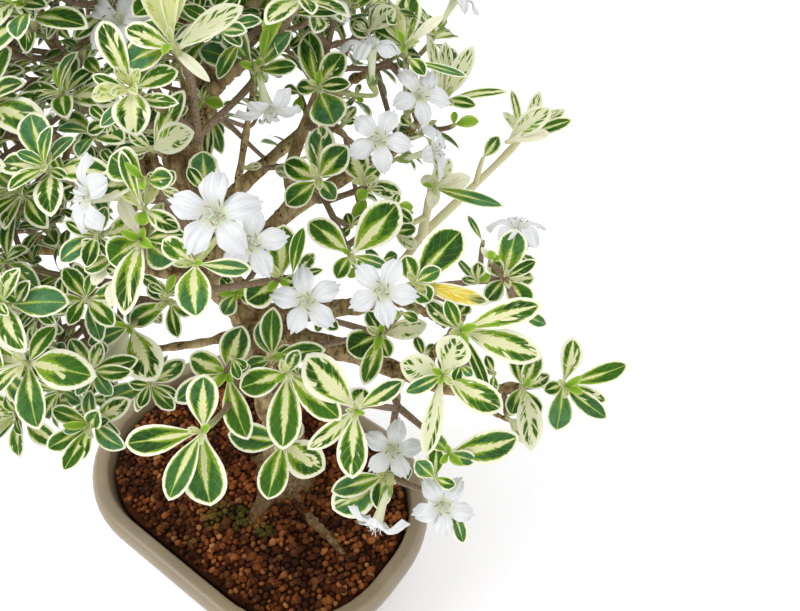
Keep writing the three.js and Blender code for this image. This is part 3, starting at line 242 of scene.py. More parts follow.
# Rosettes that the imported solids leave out.
EXTRA_ROSETTES = [
    ((11, -44, 214), [(7.6, 8.5, 2.8, "b"), (0.9, 8.5, 2.5, "l"), (3.3, 8.5, 2.6, "c"), (9.9, 9, 2.3)]),
    ((18, -39, 222), [
        (8.2, 9, 5.2, "b"), (9.6, 7.5, 2.6, "p"), (4.4, 10.5, 1.9, "p"), (2.2, 11.5, 1.7, "p"),
        (0.8, 15, 2.8, "y"), (10.4, 6.5, 3)]),
    ((3, -20, 211), [(1.5, 4.5, 3), (9.7, 4.5, 2.5), (5.2, 4, 3), (2.7, 5, 2.8, "l")]),
    ((12, -5, 203), [(7.7, 4, 2.2), (9.8, 5, 2.4), (1.4, 5, 2.2), (4.6, 5, 2, "c")]),
    ((10, -40, 199), [(1, 13.5, 4.1, "c"), (2.4, 9.5, 5.6, "m"), (9, 8, 3.1), (10.2, 5, 2.5, "c")]),
    ((11, -30, 199), [(1.1, 6, 3), (11.3, 4.5, 2.6), (2, 5.5, 2.1)]),
    ((14, -11, 192), [(10.4, 4, 1.9), (7.2, 4, 1.9, "l"), (3.5, 5, 2.9, "l"), (0.9, 4, 2.1)]),
    ((15, -10, 186), [(4.7, 5, 2.2), (5.4, 9.5, 3.2), (6.8, 3.5, 1.9, "l"), (6, 11.5, 2.8)]),
    ((21, -11, 172), [(2.9, 4.6, 2, "m")]),
    ((34, -13, 170), [(10, 6, 2.8, "m")]),
    ((19, -41, 189), [(11.9, 8.5, 6, "b"), (10.9, 5.5, 2.6)]),
    ((13, -50, 197), [(1.3, 4.5, 3), (7.8, 4.5, 2.6, "c"), (3.7, 4.5, 2, "c"), (10.8, 4, 2.4)]),
    ((1, -36, 203), [(8.2, 5, 2.9), (10.4, 5, 2.5), (1.5, 4.5, 2.5, "c"), (5.2, 4, 2.3)]),
    ((-3, -23, 206), [(10.6, 5, 3), (7.3, 5, 2.8), (1.8, 4.5, 2.6), (4.9, 4, 2.4, "c")]),
    ((30, -14, 204), [(0.7, 15.5, 3.8, "l"), (0.5, 6.5, 1.8, "l")]),
    ((25, 10, 197), [(1.1, 13, 2.2, "l"), (0.5, 11.5, 3.2, "l"), (11.3, 8, 3), (1.1, 5, 2.8)]),
    ((25, -6, 203), [(11.4, 4.5, 2.5), (4.5, 5, 2.1, "c"), (10.7, 5, 2.3, "c"), (1.2, 4.5, 2.3)]),
    ((37, 22, 190), [(10.9, 7, 4.8, "c"), (1, 6, 4, "c"), (2.7, 5.5, 2.7), (8, 4, 2.7)]),
    ((34, 42, 189), [(0.4, 6, 4.6), (10, 5, 4), (2, 5, 4, "l"), (6.3, 4, 3.4)]),
    ((15, 19, 199), [(1.5, 5, 3.3), (10, 4, 3.1), (5.2, 4, 2.8), (11.4, 6.5, 3.1, "l")]),
    ((22, 38, 193), [(11, 5.5, 3.7), (1.3, 6.5, 3.4, "l"), (7.7, 4.5, 3.1), (4.4, 5, 3.4)]),
    ((53, 9, 198), [(1.1, 8, 4.6), (1.8, 8, 5, "m"), (10, 4.5, 2.4, "c")]),
    ((49, 7, 181), [(0.8, 3.5, 1.5, "c"), (9.8, 3, 1.8, "c"), (4, 2.5, 1.5, "l"), (7.2, 3, 1.5)]),
    ((46, -1, 178), [(11.7, 6, 2.8), (1.3, 5.5, 2.5, "c"), (2.3, 3.5, 2)]),
    ((64, -3, 179), [(10.3, 3.8, 3)]),
    ((63, 0, 196), [(3.6, 14.7, 1.9, "b"), (4.7, 6, 3.4)]),
    ((36, 13, 195), [(2.5, 5.5, 2.2), (5.2, 4, 2.4), (7.5, 4.5, 2.2), (3.8, 5, 2, "c")]),
    ((35, 5, 183), [(9.7, 4.5, 2.6), (6.3, 5, 2.6, "l"), (1.5, 4.5, 2.3)]),
    ((75, 3, 175), [(0.1, 3.6, 1.8, "l"), (2.8, 6.4, 3, "l")]),
    ((91, 12, 163), [(1.8, 14.5, 5.6, "m"), (2.7, 12, 3.3, "p")]),
    ((84, 7, 161), [(1.2, 7.3, 3.9)]),
    ((71, -9, 166), [(6.6, 8, 3.1, "p"), (1.3, 5, 2.6, "c")]),
    ((53, -20, 172), [(0.6, 4.5, 2.9, "c"), (7.7, 3.5, 2.9, "l"), (3.2, 4.5, 1.9, "c")]),
    ((59, -26, 171), [(2.8, 5, 2.8, "l"), (4.2, 6, 3.1), (0.7, 4, 2.1)]),
    ((59, -19, 157), [(4.2, 7.5, 3.2, "m"), (2.8, 6, 3.5), (10.2, 4.5, 2.6)]),
    ((50, -38, 163), [(2, 3, 2.4, "l"), (7, 3, 2.4, "l"), (4.6, 3.5, 2.2, "l")]),
    ((56, -29, 156), [(2.2, 4.5, 3), (10.2, 5, 2.4), (8.2, 5, 2.4, "c")]),
    ((48, -18, 158), [(0.9, 8, 3.2, "l"), (11.4, 3.5, 2.6), (1.9, 4.5, 2, "c"), (7.5, 4, 2.4)]),
    ((79, -43, 163), [(10.6, 7.6, 1.8, "b"), (0, 4.6, 3.2), (9.3, 4, 2, "c"), (2, 3.5, 2.2, "l")]),
    ((82, -25, 159), [(11, 8, 1.7)]),
    ((82, -41, 168), [(10.8, 3.9, 1.5, "p"), (11.8, 2.4, 2.2, "l"), (2.2, 2.4, 1.6, "l")]),
    ((91, -27, 157), [(4.2, 5.4, 2.5), (1.9, 2.8, 1.4, "l")]),
    ((89, -52, 162), [(3.9, 6, 2.8, "b"), (1.6, 4, 2.6)]),
    ((74, -52, 161), [(1.3, 4, 3.5), (11, 3.5, 2.6)]),
    ((61, -51, 161), [(3.8, 4.4, 2.6), (8.5, 2.5, 2.3, "l")]),
    ((82, -64, 155), [(11.2, 4.5, 2.2), (6.2, 4.5, 2.5)]),
    ((70, -66, 158), [(1.6, 2.8, 2.2), (11.9, 4.6, 2)]),
    ((74, -67, 162), [(4.5, 3.5, 2, "b"), (6.7, 4, 2.4)]),
    ((69, -78, 133), [(0.1, 7.6, 4.1), (10.5, 6.5, 4.1, "b"), (3.6, 5, 2.8)]),
    ((73, -80, 124), [(5.4, 9.5, 3.2), (8.5, 6, 2.5)]),
    ((88, -59, 130), [(4.2, 8.5, 5.4, "m"), (1.2, 4.5, 2.8)]),
    ((67, -40, 131), [(11.3, 6, 2.8), (1.4, 4.5, 2.6, "c")]),
    ((65, -31, 141), [(6.8, 4.5, 3.2), (11.6, 3.5, 2.4)]),
    ((-11, -20, 131), [(7.4, 8.5, 4.2), (4.9, 7.5, 3.8, "c")]),
    ((-4, -17, 128), [(6.3, 8.5, 2.8, "b"), (4.6, 6, 3.2)]),
    ((42, -49, 157), [(4.1, 5, 2.9), (6.5, 3.5, 2.1), (2.4, 3, 2.1)]),
    ((37, -49, 171), [(1.4, 7, 2.9, "c"), (2.6, 7, 2), (0.5, 11, 2.9), (5.5, 3.5, 1.8)]),
    ((14, -63, 203), [
        (4, 7.5, 3.4, "c"), (0.9, 6.5, 2.3, "y"), (11, 7, 3.4, "y"), (6.2, 3, 2.6, "l"),
        (11.6, 9.5, 2.3)]),
    ((7, -64, 187), [(6.9, 7, 3.6, "p"), (4.1, 3, 2.4, "c"), (9.6, 4.5, 2.6, "c")]),
    ((4, -60, 188), [(9.3, 6, 3.6, "c"), (8, 6, 3.2), (7.2, 7, 2.8, "p"), (10, 6, 2.6)]),
    ((12, -60, 177), [(10.2, 6.5, 2.5), (10, 4, 1.9), (2.3, 5, 2.1), (0.9, 4.5, 1.7, "l")]),
    ((25, -48, 176), [(7.2, 4, 2.7), (4.5, 4, 2.4, "c"), (11.7, 3.5, 2)]),
    ((23, -62, 158), [(4.2, 4, 2.5), (5.2, 5, 2.3)]),
    ((38, -64, 154), [(10.9, 4, 2.3), (2.3, 2.5, 2.7), (5.3, 4, 3, "c"), (4, 4.5, 2.3)]),
]

# Thin branches, and a root on the soil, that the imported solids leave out: points, and
# the radius at each end.
THIN_BRANCHES = [
    ([(3, 3, 138), (13.5, -5, 150), (18, -11, 165), (24, -9, 187), (28, -13, 200)], 1.2, 0.75),
    ([(11, -3, 186), (19.5, -12, 198), (27, -13, 204)], 2.4, 1.3),
    ([(14, -2, 102), (7, -24, 119), (-10, -26, 117), (-18, -30, 119)], 1.7, 0.9),
    ([(20, -14, -5), (26, -21, -2.2), (33, -28, -2.6), (41, -36, -7)], 2.2, 1.4),
    ([(75, -47, 126), (80, -54, 129), (85, -58, 130), (90, -60, 129)], 0.9, 0.6),
    ([(57, -22, 135), (64, -30, 140), (69, -34, 141), (73, -37, 140)], 1.5, 0.8),
    ([(68, -42, 124), (70, -40, 133), (74, -39, 139), (75, -37, 143)], 1.4, 0.8),
    ([(3, 2, 119), (-5, -7, 124), (-10, -14, 127), (-14, -19, 129)], 1.5, 0.8),
    ([(-6, 0, 153), (-6, -1, 161), (-5, -1, 169), (-4, -1, 177)], 1.2, 0.9),
    ([(-3, 2, 152), (-3, 0, 160), (-2, -1, 169), (0, -1, 177)], 1.2, 0.9),
]

# Blooms: shoot and rosette, the middle of the face, the way it faces, and the hour
# of one lobe as the photograph shows it.
BLOOMS = [
    ("middle", "right_middle", 1, (57, -60, 178), FRONT, 0.9),
    ("middle_left", "middle", 0, (41, -61, 176), FRONT, 11.7),
    ("low", "front_right_low", 1, (59, -70, 132), FRONT, 0.4),
    ("low_right", "front_right_low", 1, (71, -83, 128), FRONT, 1.2),
    ("low_nodding", "front_right_low", 1, (55, -86, 124), (-0.3, -0.9, -0.3), 6),
    ("upper", "middle_right", 1, (56, -25, 191), FRONT, 0.9),
    ("upper_back", "middle_high", 1, (54, -2, 202), (0, 0.34, 0.94), 9.5),
    ("high_right", "high_right", 0, (66, -8, 192), (0.3, -0.5, 0.8), 1),
    ("hanging", "front_top", 2, (32, -24, 197), (0.31, -0.8, -0.52), 7.6),
    ("high", "high_right", 1, (43, 4, 210), (-0.1, -0.6, 0.8), 2),
    ("front", "front_high", 0, (31, -78, 215), FRONT, 0),
    ("front_behind", "middle", 0, (31, -58, 190), (0.3, -0.65, 0.7), 5),
    ("front_left", "front_high", 2, (4, -64, 207), (-0.75, -0.5, 0.43), 0),
    ("top_front", "front_top", 1, (4, -26, 221), (-0.4, -0.4, 0.82), 0.5),
    ("right", "middle_right", 1, (70, -12, 178), (0.85, -0.2, 0.4), 6),
    ("right_upright", "right_middle", 0, (90, -27, 167), (0.1, 0.35, 0.93), 2),
]

# The shoots on the dome that carry a bloom on top.
DOME_BLOOMS = [
    "back_low", "left_low", "right_back", "back", "back_left", "left_high_front",
    "high_left_back", "crown",
]

# Surface roots: direction in degrees, length, radius at the trunk.
ROOTS = [(-118, 40, 4.2), (-62, 26, 3.6), (-8, 22, 3.8), (70, 24, 4), (150, 26, 3.8)]

# Moss on the granules: where it lies in the pot's frame, and how far it reaches.
MOSS = [((-3, -22), 8), ((7, -18), 6), ((18, -16), 5)]

# ------------------------------------------------------------------------ helpers
WORD, MIX_STEP, MIX_END = 2**32, 2654435761, 2246822519


def draw(*keys):
    """A repeatable draw between 0 and 1 for a set of whole numbers."""
    value = SEED
    for key in keys:
        value = (value ^ (key + 1013)) * MIX_STEP % WORD
        value ^= value >> 15
    value = value * MIX_END % WORD
    return (value ^ (value >> 13)) / WORD


def unit(vector):
    return vector / np.linalg.norm(vector)


def level_way(angle):
    """The level direction at an angle in radians."""
    return np.array([math.cos(angle), math.sin(angle), 0])


def circle(count):
    """Angles evenly spaced round a circle."""
    return np.linspace(0, 2 * math.pi, count, endpoint=False)


def sheet(*parts):
    """Coordinates, each spread over the others' rows and columns, joined into points."""
    return np.stack(np.broadcast_arrays(*parts), -1)


def curve_points(points, count):
    """Points along a Catmull-Rom curve, evenly spaced in its parameter."""
    points = np.array(points, float)
    before = 2 * points[0] - points[1]
    after = 2 * points[-1] - points[-2]
    chain = np.vstack([before, points, after])
    spans = len(points) - 1
    at = np.linspace(0, spans, count)
    index = np.minimum(at.astype(int), spans - 1)
    w = (at - index)[:, None]
    p0, p1, p2, p3 = (chain[index + k] for k in range(4))
    t0, t1 = (p2 - p0) / 2, (p3 - p1) / 2
    return (p1 + t0 * w + (3 * (p2 - p1) - 2 * t0 - t1) * w**2
            + (2 * (p1 - p2) + t0 + t1) * w**3)


def limb_point(name, along):
    chain = curve_points(LIMBS[name][0], 401)
    return chain[round(along * (len(chain) - 1))]


POT_MIDDLE = np.mean(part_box("pot"), axis=0) * (1, 1, 0)
TURN = math.radians(TREE_TURN)
TURNED = np.array([
    (math.cos(TURN), -math.sin(TURN), 0),
    (math.sin(TURN), math.cos(TURN), 0),
    (0, 0, 1),
])


def place_pot(points):
    """From the pot's own frame in millimetres to the part's in metres."""
    return np.asarray(points, float) / 1000 + POT_MIDDLE


def place(points):
    """From the tree's frame in millimetres to the part's in metres."""
    return place_pot(np.asarray(points, float) @ TURNED.T + (0, 0, RIM_Z))


def add_object(name, data):
    made = bpy.data.objects.new(name, data)
    bpy.context.scene.collection.objects.link(made)
    return made


# What each point carries for the materials: a shade of its own, how pale, how young
# (or worn; on the bark, how deep its painted shade near the soil; on the pot, how strong
# the painted highlight on its edges), and how much bluish sheen is painted on (or how golden,
# below zero).
SHADES = ("seed", "tone", "age", "painted_sheen_and_gold")
PLAIN = (0, 0, 0, 0)


class Skin:
    """Gathers sheets of points into one mesh."""

    def __init__(self):
        self.blocks = []
        self.total = 0

    def add(self, points, faces, slot=0, uvs=None, values=PLAIN):
        points = np.asarray(points, float).reshape(-1, 3)
        count = len(points)
        uvs = np.zeros((count, 2)) if uvs is None else uvs.reshape(-1, 2)
        values = np.array(values, float).reshape(-1, len(SHADES))
        values = np.broadcast_to(values, (count, len(SHADES)))
        faces = np.asarray(faces) + self.total
        self.blocks.append((points, uvs, values, faces, np.full(len(faces), slot)))
        self.total += count

    def grid(self, points, slot=0, uvs=None, values=PLAIN, closed=False):
        """A sheet of quads; `closed` joins the last column to the first."""
        rows, columns = points.shape[:2]
        index = np.arange(rows * columns).reshape(rows, columns)
        if closed:
            index = np.hstack([index, index[:, :1]])
        faces = np.stack([index[:-1, :-1], index[:-1, 1:], index[1:, 1:], index[1:, :-1]], -1)
        self.add(points, faces.reshape(-1, 4), slot, uvs, values)

    def cap(self, ring, middle, slot=0, values=PLAIN):
        """Triangles from a ring to its middle."""
        count = len(ring)
        faces = [(k, (k + 1) % count, count) for k in range(count)]
        self.add([*ring, middle], faces, slot, None, values)

    def build(self, name, materials, slot, nodes=(), transform=place):
        """The mesh as a piece that stands for the solids `nodes`."""
        points, uvs, values, faces, slots = zip(*self.blocks)
        uvs, values = np.vstack(uvs), np.vstack(values)
        faces = [face for block in faces for face in block.tolist()]
        mesh = bpy.data.meshes.new(name)
        mesh.from_pydata(transform(np.vstack(points)).tolist(), [], faces)
        corners = np.empty(len(mesh.loops), int)
        mesh.loops.foreach_get("vertex_index", corners)
        layer = mesh.uv_layers.new(name="UVMap")
        layer.data.foreach_set("uv", uvs[corners].ravel())
        for column, key in enumerate(SHADES):
            attribute = mesh.attributes.new(key, "FLOAT", "POINT")
            attribute.data.foreach_set("value", np.ascontiguousarray(values[:, column]))
        for material in materials:
            mesh.materials.append(material)
        mesh.polygons.foreach_set("material_index", np.concatenate(slots))
        mesh.polygons.foreach_set("use_smooth", np.ones(len(faces), bool))
        mesh.update()
        piece = add_object(name, mesh)
        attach(piece, "root")
        if nodes:
            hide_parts(*nodes)


def side_ways(points):
    """Two directions across a chain at each point, carried along it without twist."""
    first = points[1] - points[0]
    upright = abs(first[2]) >= 0.9 * np.linalg.norm(first)
    side = np.array([1.0, 0, 0] if upright else [0, 0, 1.0])
    tangents = np.gradient(points, axis=0)
    tangents /= np.linalg.norm(tangents, axis=1)[:, None]
    sides = []
    for tangent in tangents:
        side = unit(side - tangent * (side @ tangent))
        sides.append(side)
    return np.array(sides), np.cross(tangents, sides)


def unevenness(at):
    """Coarse lumps, and finer ones drawn out upwards."""
    coarse = noise.noise(at * 0.16)
    fine = noise.noise(Vector((at.x * 0.5, at.y * 0.5, at.z * 0.22)))
    return coarse + 0.6 * fine


def tube(skin, points, radii, sides, slot=0, rough=0.0, ages_and_painted_shade=0.0, pale=0.0):
    """A round tube with closed ends, its radius `rough`ened by noise."""
    points = np.asarray(points, float)
    count = len(points)
    radii = np.broadcast_to(np.asarray(radii, float), (count,))
    values = np.zeros((count, sides, len(SHADES)))
    values[:, :, 1] = pale
    values[:, :, 2] = np.broadcast_to(ages_and_painted_shade, (count,))[:, None]
    side, other = side_ways(points)
    angle = circle(sides)
    ring = np.cos(angle)[:, None] * side[:, None] + np.sin(angle)[:, None] * other[:, None]
    spread = np.ones((count, sides))
    if rough:
        for i, k in np.ndindex(count, sides):
            spread[i, k] += rough * unevenness(Vector(points[i] + ring[i, k] * radii[i]))
    body = points[:, None] + ring * (radii[:, None] * spread)[:, :, None]
    along = np.concatenate([[0], np.cumsum(np.linalg.norm(np.diff(points, axis=0), axis=1))])
    uvs = sheet(angle[None] / (2 * math.pi), along[:, None])
    skin.grid(body, slot, uvs, values, closed=True)
    for end, order in ((0, -1), (-1, 1)):
        skin.cap(body[end][::order], points[end], slot, values[end, 0])


# ---------------------------------------------------------------------- materials
def linear(colour):
    """A colour's levels on the screen, 0 to 255, as linear light."""
    shares = [level / 255 for level in colour]
    return [s / 12.92 if s <= 0.04045 else ((s + 0.055) / 1.055) ** 2.4 for s in shares]


def arithmetic(operation, swapped=False):
    """The method behind one of Value's operators."""
    def apply(value, other):
        pair = (other, value) if swapped else (value, other)
        return value.graph.math(operation, *pair)
    return apply


class Value:
    """A node socket that takes part in arithmetic."""

    def __init__(self, graph, socket):
        self.graph, self.socket = graph, socket

    __add__ = __radd__ = arithmetic("ADD")
    __sub__, __rsub__ = arithmetic("SUBTRACT"), arithmetic("SUBTRACT", swapped=True)
    __mul__ = __rmul__ = arithmetic("MULTIPLY")
    __truediv__, __pow__ = arithmetic("DIVIDE"), arithmetic("POWER")


class Graph:
    """A material's node tree around its Principled shader."""

    def __init__(self, name, **settings):
        self.material = bpy.data.materials.new(name)
        self.material.use_nodes = True
        self.tree = self.material.node_tree
        self.shader = self.tree.nodes["Principled BSDF"]
        for key, value in settings.items():
            self.shader.inputs[key.replace("_", " ")].default_value = value

    def set(self, socket, value):
        if isinstance(value, Value):
            self.tree.links.new(value.socket, socket)
        elif socket.type == "RGBA":
            socket.default_value = (*linear(value), 1)
        else:
            socket.default_value = value

    def node(self, kind, output=0, inputs=(), **settings):
        node = self.tree.nodes.new(kind)
        for key, value in settings.items():
            setattr(node, key, value)
        for key, value in dict(inputs).items():
            self.set(node.inputs[key], value)
        return Value(self, node.outputs[output])

    def math(self, operation, *values):
        return self.node("ShaderNodeMath", inputs=enumerate(values), operation=operation)

    def most(self, a, b):
        return self.math("MAXIMUM", a, b)

    def smooth(self, value, low, high):
        return self.node("ShaderNodeMapRange", interpolation_type="SMOOTHSTEP",
                         inputs={"Value": value, "From Min": low, "From Max": high})

    def mix(self, share, a, b):
        return self.node("ShaderNodeMix", 2, data_type="RGBA", inputs={0: share, 6: a, 7: b})

    def layered(self, colour, *layers):
        """A colour with layers over it, each with the share that it covers."""
        for share, layer in layers:
            colour = self.mix(share, colour, layer)
        return colour

    def attribute(self, name):
        return self.node("ShaderNodeAttribute", "Fac", attribute_name=name)

    def uv(self):
        source = self.node("ShaderNodeUVMap", uv_map="UVMap")
        u = self.node("ShaderNodeSeparateXYZ", inputs={0: source})
        return u, Value(self, u.socket.node.outputs[1])

    def position(self):
        return self.node("ShaderNodeTexCoord", "Object")

    def vector(self, x, y, z):
        return self.node("ShaderNodeCombineXYZ", inputs=enumerate((x, y, z)))

    def scaled(self, vector, factors):
        return self.node("ShaderNodeVectorMath", operation="MULTIPLY", inputs={0: vector, 1: factors})

    def noise(self, vector, scale, detail, rough=0.55):
        return self.node("ShaderNodeTexNoise", inputs={
            "Vector": vector, "Scale": scale, "Detail": detail, "Roughness": rough})

    def cells(self, vector, scale, feature="F1"):
        return self.node("ShaderNodeTexVoronoi", "Distance", feature=feature,
                         inputs={"Vector": vector, "Scale": scale})

    def ramp(self, value, stops):
        result = self.node("ShaderNodeValToRGB", inputs={0: value})
        ramp = result.socket.node.color_ramp
        while len(ramp.elements) < len(stops):
            ramp.elements.new(0.5)
        for element, (at, colour) in zip(ramp.elements, stops):
            element.position = at
            element.color = (*linear(colour), 1)
        return result

    def finish(self, colour, roughness, height=None, strength=0.3, distance=0.0005):
        self.set(self.shader.inputs["Base Color"], colour)
        self.set(self.shader.inputs["Roughness"], roughness)
        if height is not None:
            bump = self.node("ShaderNodeBump", inputs={
                "Strength": strength, "Distance": distance, "Height": height})
            self.set(self.shader.inputs["Normal"], bump)
        return self.material


def leaf_material():
    """Dark green leaves, each with a thin cream margin and a cream streak up the midrib.

    The streak forks along the veins; paler leaves (tone) break up into green
    segments between the veins, then into blotches.
    """
    g = Graph("variegated_leaf", Specular_IOR_Level=0.2)
    u, v = g.uv()
    seed, tone, age, painted_sheen_and_gold = (g.attribute(name) for name in SHADES)
    x = g.math("ABSOLUTE", u * 2 - 1)
    half = g.math("GREATER_THAN", u, 0.5)
    where = g.vector(u * 1.6, v * 2.6, seed * 41)
    coarse = g.noise(where, 2, 2) - 0.5
    fine = g.noise(where, 10, 3) - 0.5

    def odds(turns):
        return g.math("FRACT", seed * turns)

    # Veins run forward from the midrib, by turns on its two sides.
    rank = (v - x * 0.34) * 6.5 + half * 0.5 + coarse * 0.5
    feather = g.noise(g.vector(rank * 1.2, x * 0.9, seed * 23 + half * 3), 2.2, 2, 0.6) - 0.5
    tip = g.math("ABSOLUTE", (v - 0.52) / 0.465) ** 6
    edge = g.math("SQRT", x * x + tip)
    outer = 0.875 - tone * 0.18 - odds(3.7) * 0.10 + coarse * 0.12 + feather * 0.20
    length = 0.55 + odds(7.3) * 0.45 + tone * 0.2
    width = 0.16 + odds(5.1) * 0.26 + tone * 0.34 - g.most(painted_sheen_and_gold, 0.0) * 0.12
    streak = g.most(1 - v / length, 0.0) ** 0.8 * width
    inner = streak + feather * (streak * 1.9 + 0.03)
    inside = g.smooth(edge, outer + 0.035, outer - 0.035)
    beside = g.smooth(x, inner - 0.03, inner + 0.04)
    saw = g.math("ABSOLUTE", g.math("FRACT", rank) - 0.5)
    gap = g.smooth(saw, 0.17, 0.06) * g.smooth(tone, 0.4, 0.66) * g.smooth(x, 0.9, 0.6)
    blotch = g.noise(g.vector(u * 1.7, rank * 0.32, seed * 61), 2.2, 1)
    keep = 0.14 + tone * 0.54
    green = inside * beside * (1 - gap) * g.smooth(blotch, keep - 0.02, keep + 0.02)

    depth = g.math("MINIMUM", outer - edge, x - inner) + feather * 0.06
    band = 0.10 + g.smooth(v, 0.75, 0.1) * (0.14 + odds(9.1) * 0.5)
    dark = g.smooth(depth, band * 0.25, band)
    vein = g.smooth(saw, 0.07, 0.0) * g.smooth(x, 0.0, 0.08) * g.smooth(x, 1.0, 0.7)
    net = g.smooth(g.cells(where, 8, "DISTANCE_TO_EDGE"), 0.08, 0.0)
    midrib = g.smooth(x, 0.05, 0.02) * g.smooth(v, 1.0, 0.9)
    lime = g.mix(g.smooth(fine, -0.2, 0.25), (112, 150, 10), (156, 184, 48))
    # A bluish painted sheen, laid over the deep green of the leaves marked bluish.
    sheen_colour = g.mix(g.smooth(coarse, -0.25, 0.3), (48, 104, 62), (94, 142, 96))
    deep = g.layered(
        (16, 58, 0),
        (g.smooth(coarse + odds(2.9) * 0.5, -0.1, 0.5), (56, 104, 8)),
        (g.most(painted_sheen_and_gold, 0.0), sheen_colour),
        (vein * 0.34 + net * 0.12, (130, 170, 64)),
        (midrib * 0.5, (172, 194, 104)))
    cream = g.layered(
        (226, 226, 170),
        (g.smooth(edge, 0.5, 0.92), (246, 245, 220)),
        (g.smooth(feather, 0.05, 0.3) * 0.4, (202, 212, 120)),
        (g.smooth(tone, 0.3, 0.7) * 0.6, (238, 234, 212)))
    faded = g.layered(
        (242, 239, 212),
        (g.smooth(x, 0.3, 0.0) * 0.4, (218, 220, 168)),
        (green * 0.6, (146, 170, 60)))
    gold = g.mix(g.smooth(feather, -0.1, 0.12), (232, 226, 132), (220, 188, 40))
    golden = g.most(0 - painted_sheen_and_gold, 0.0) * g.smooth(edge, 0.92, 0.7) * g.smooth(v - x * 0.2, 0.85, 0.6)
    young = g.mix(g.smooth(x, 0.9, 0.4), (184, 206, 96), (134, 176, 46))
    colour = g.layered(
        cream,
        (green, g.mix(dark, lime, deep)),
        (g.smooth(tone, 0.70, 0.95), faded),
        (golden, gold),
        (age, young))
    height = (0 - vein) * 0.6 - midrib * 1.2 + fine * 0.4 - net * 0.2
    return g.finish(colour, 0.46 + green * 0.04 + fine * 0.1, height, 0.35, 0.0004)


def stem_material():
    """Young stems, pale green, going buff and woody as they grow old; cream where the tone is pale."""
    g = Graph("young_stem")
    u, v = g.uv()
    grain = g.noise(g.vector(u * 6, v * 0.35, 0), 3, 4)
    scales = g.noise(g.vector(u * 3, v * 0.9, 4), 3, 3)
    young = g.mix(g.smooth(grain, 0.3, 0.7), (150, 166, 88), (208, 206, 152))
    old = g.layered(
        (96, 74, 54),
        (g.smooth(grain, 0.3, 0.7), (158, 134, 106)),
        (g.smooth(scales, 0.55, 0.7) * 0.7, (196, 178, 146)))
    colour = g.layered(
        young,
        (g.smooth(g.attribute("age") + grain * 0.3, 0.45, 0.75), old),
        (g.attribute("tone") * 0.85, (222, 216, 172)))
    return g.finish(colour, 0.65, grain + scales, 0.4)


def petal_material():
    """White petals with faint grey lines and a pale green throat."""
    g = Graph("white_petal", Subsurface_Weight=0.2, Subsurface_Scale=0.002,
              Subsurface_Radius=(1, 1, 1))
    u, v = g.uv()
    line = g.noise(g.vector(u * 9, v * 0.7, g.attribute("seed") * 17), 3, 2)
    colour = g.layered(
        (232, 233, 233),
        (g.smooth(line, 0.35, 0.7), (212, 215, 217)),
        (g.smooth(v, 0.42, 0.14), (226, 232, 196)))
    return g.finish(colour, 0.5, line, 0.3, 0.0003)


def plain_material(name, low, high, scale, roughness):
    """Two colours mixed by noise, for small parts."""
    g = Graph(name)
    grain = g.noise(g.position(), scale, 4)
    return g.finish(g.mix(g.smooth(grain, 0.3, 0.7), low, high), roughness, grain)


def bark_material():
    """Buff-brown bark with faint cracks, dark pocks and a little green bloom.

    Painted shade darkens it towards the soil (age), and it goes cream on the pale shoot's twig (tone).
    """
    g = Graph("bark", Specular_IOR_Level=0.2)
    where = g.position()
    stretched = g.scaled(where, (1, 1, 0.35))
    grain = g.noise(stretched, 420, 5, 0.65)
    crack = g.smooth(g.cells(stretched, 210, "DISTANCE_TO_EDGE"), 0.10, 0.0)
    pocked = g.smooth(g.noise(where, 150, 2), 0.48, 0.6)
    pock = g.smooth(g.cells(where, 900), 0.42, 0.3) * pocked
    colour = g.layered(
        (108, 82, 44),
        (g.smooth(grain, 0.3, 0.72), (194, 170, 122)),
        (g.smooth(g.noise(where, 60, 4), 0.45, 0.7) * 0.6, (212, 194, 150)),
        (g.smooth(g.noise(where, 110, 3), 0.58, 0.70) * 0.6, (132, 128, 66)),
        (crack * 0.28, (62, 42, 24)),
        (pock * 0.85, (52, 30, 20)),
        # painted shade on the bark towards the soil
        (g.attribute("age") * 0.72, (72, 42, 20)),
        (g.attribute("tone"), (214, 206, 160)))
    return g.finish(colour, 0.85, grain - crack * 0.5 - pock, 0.6, 0.0012)


def soil_material():
    """Reddish-brown clay granules, each of its own shade (seed), some mossy (tone)."""
    g = Graph("clay_granules", Specular_IOR_Level=0.15)
    where = g.position()
    grain = g.noise(where, 900, 4, 0.7)
    clay = g.ramp(g.attribute("seed"), [
        (0.0, (58, 28, 12)), (0.3, (104, 54, 24)), (0.65, (142, 80, 38)),
        (0.9, (170, 104, 54)), (1.0, (188, 132, 80))])
    colour = g.layered(
        clay,
        (g.smooth(grain, 0.35, 0.75) * 0.4, (70, 38, 14)),
        (g.smooth(g.noise(where, 75, 2), 0.60, 0.40) * 0.72, (40, 20, 8)),
        (g.attribute("tone"), (74, 84, 30)))
    return g.finish(colour, 0.95, grain, 0.6, 0.0008)


def glaze_material():
    """A smooth taupe glaze with fine speckle, and a highlight painted on the lip's rounded edges (age)."""
    g = Graph("taupe_glaze", Coat_Weight=0.25, Coat_Roughness=0.18)
    where = g.position()
    cloud = g.noise(where, 22, 3)
    speck = g.noise(where, 650, 2)
    colour = g.layered(
        (132, 117, 92),
        (g.smooth(cloud, 0.35, 0.7), (150, 135, 106)),
        # painted highlight on the lip's rounded edges
        (g.attribute("age") * 0.5, (168, 154, 126)),
        (g.smooth(speck, 0.62, 0.75) * 0.25, (92, 78, 60)))
    return g.finish(colour, 0.34 + cloud * 0.12, cloud + speck * 0.15, 0.12, 0.0008)


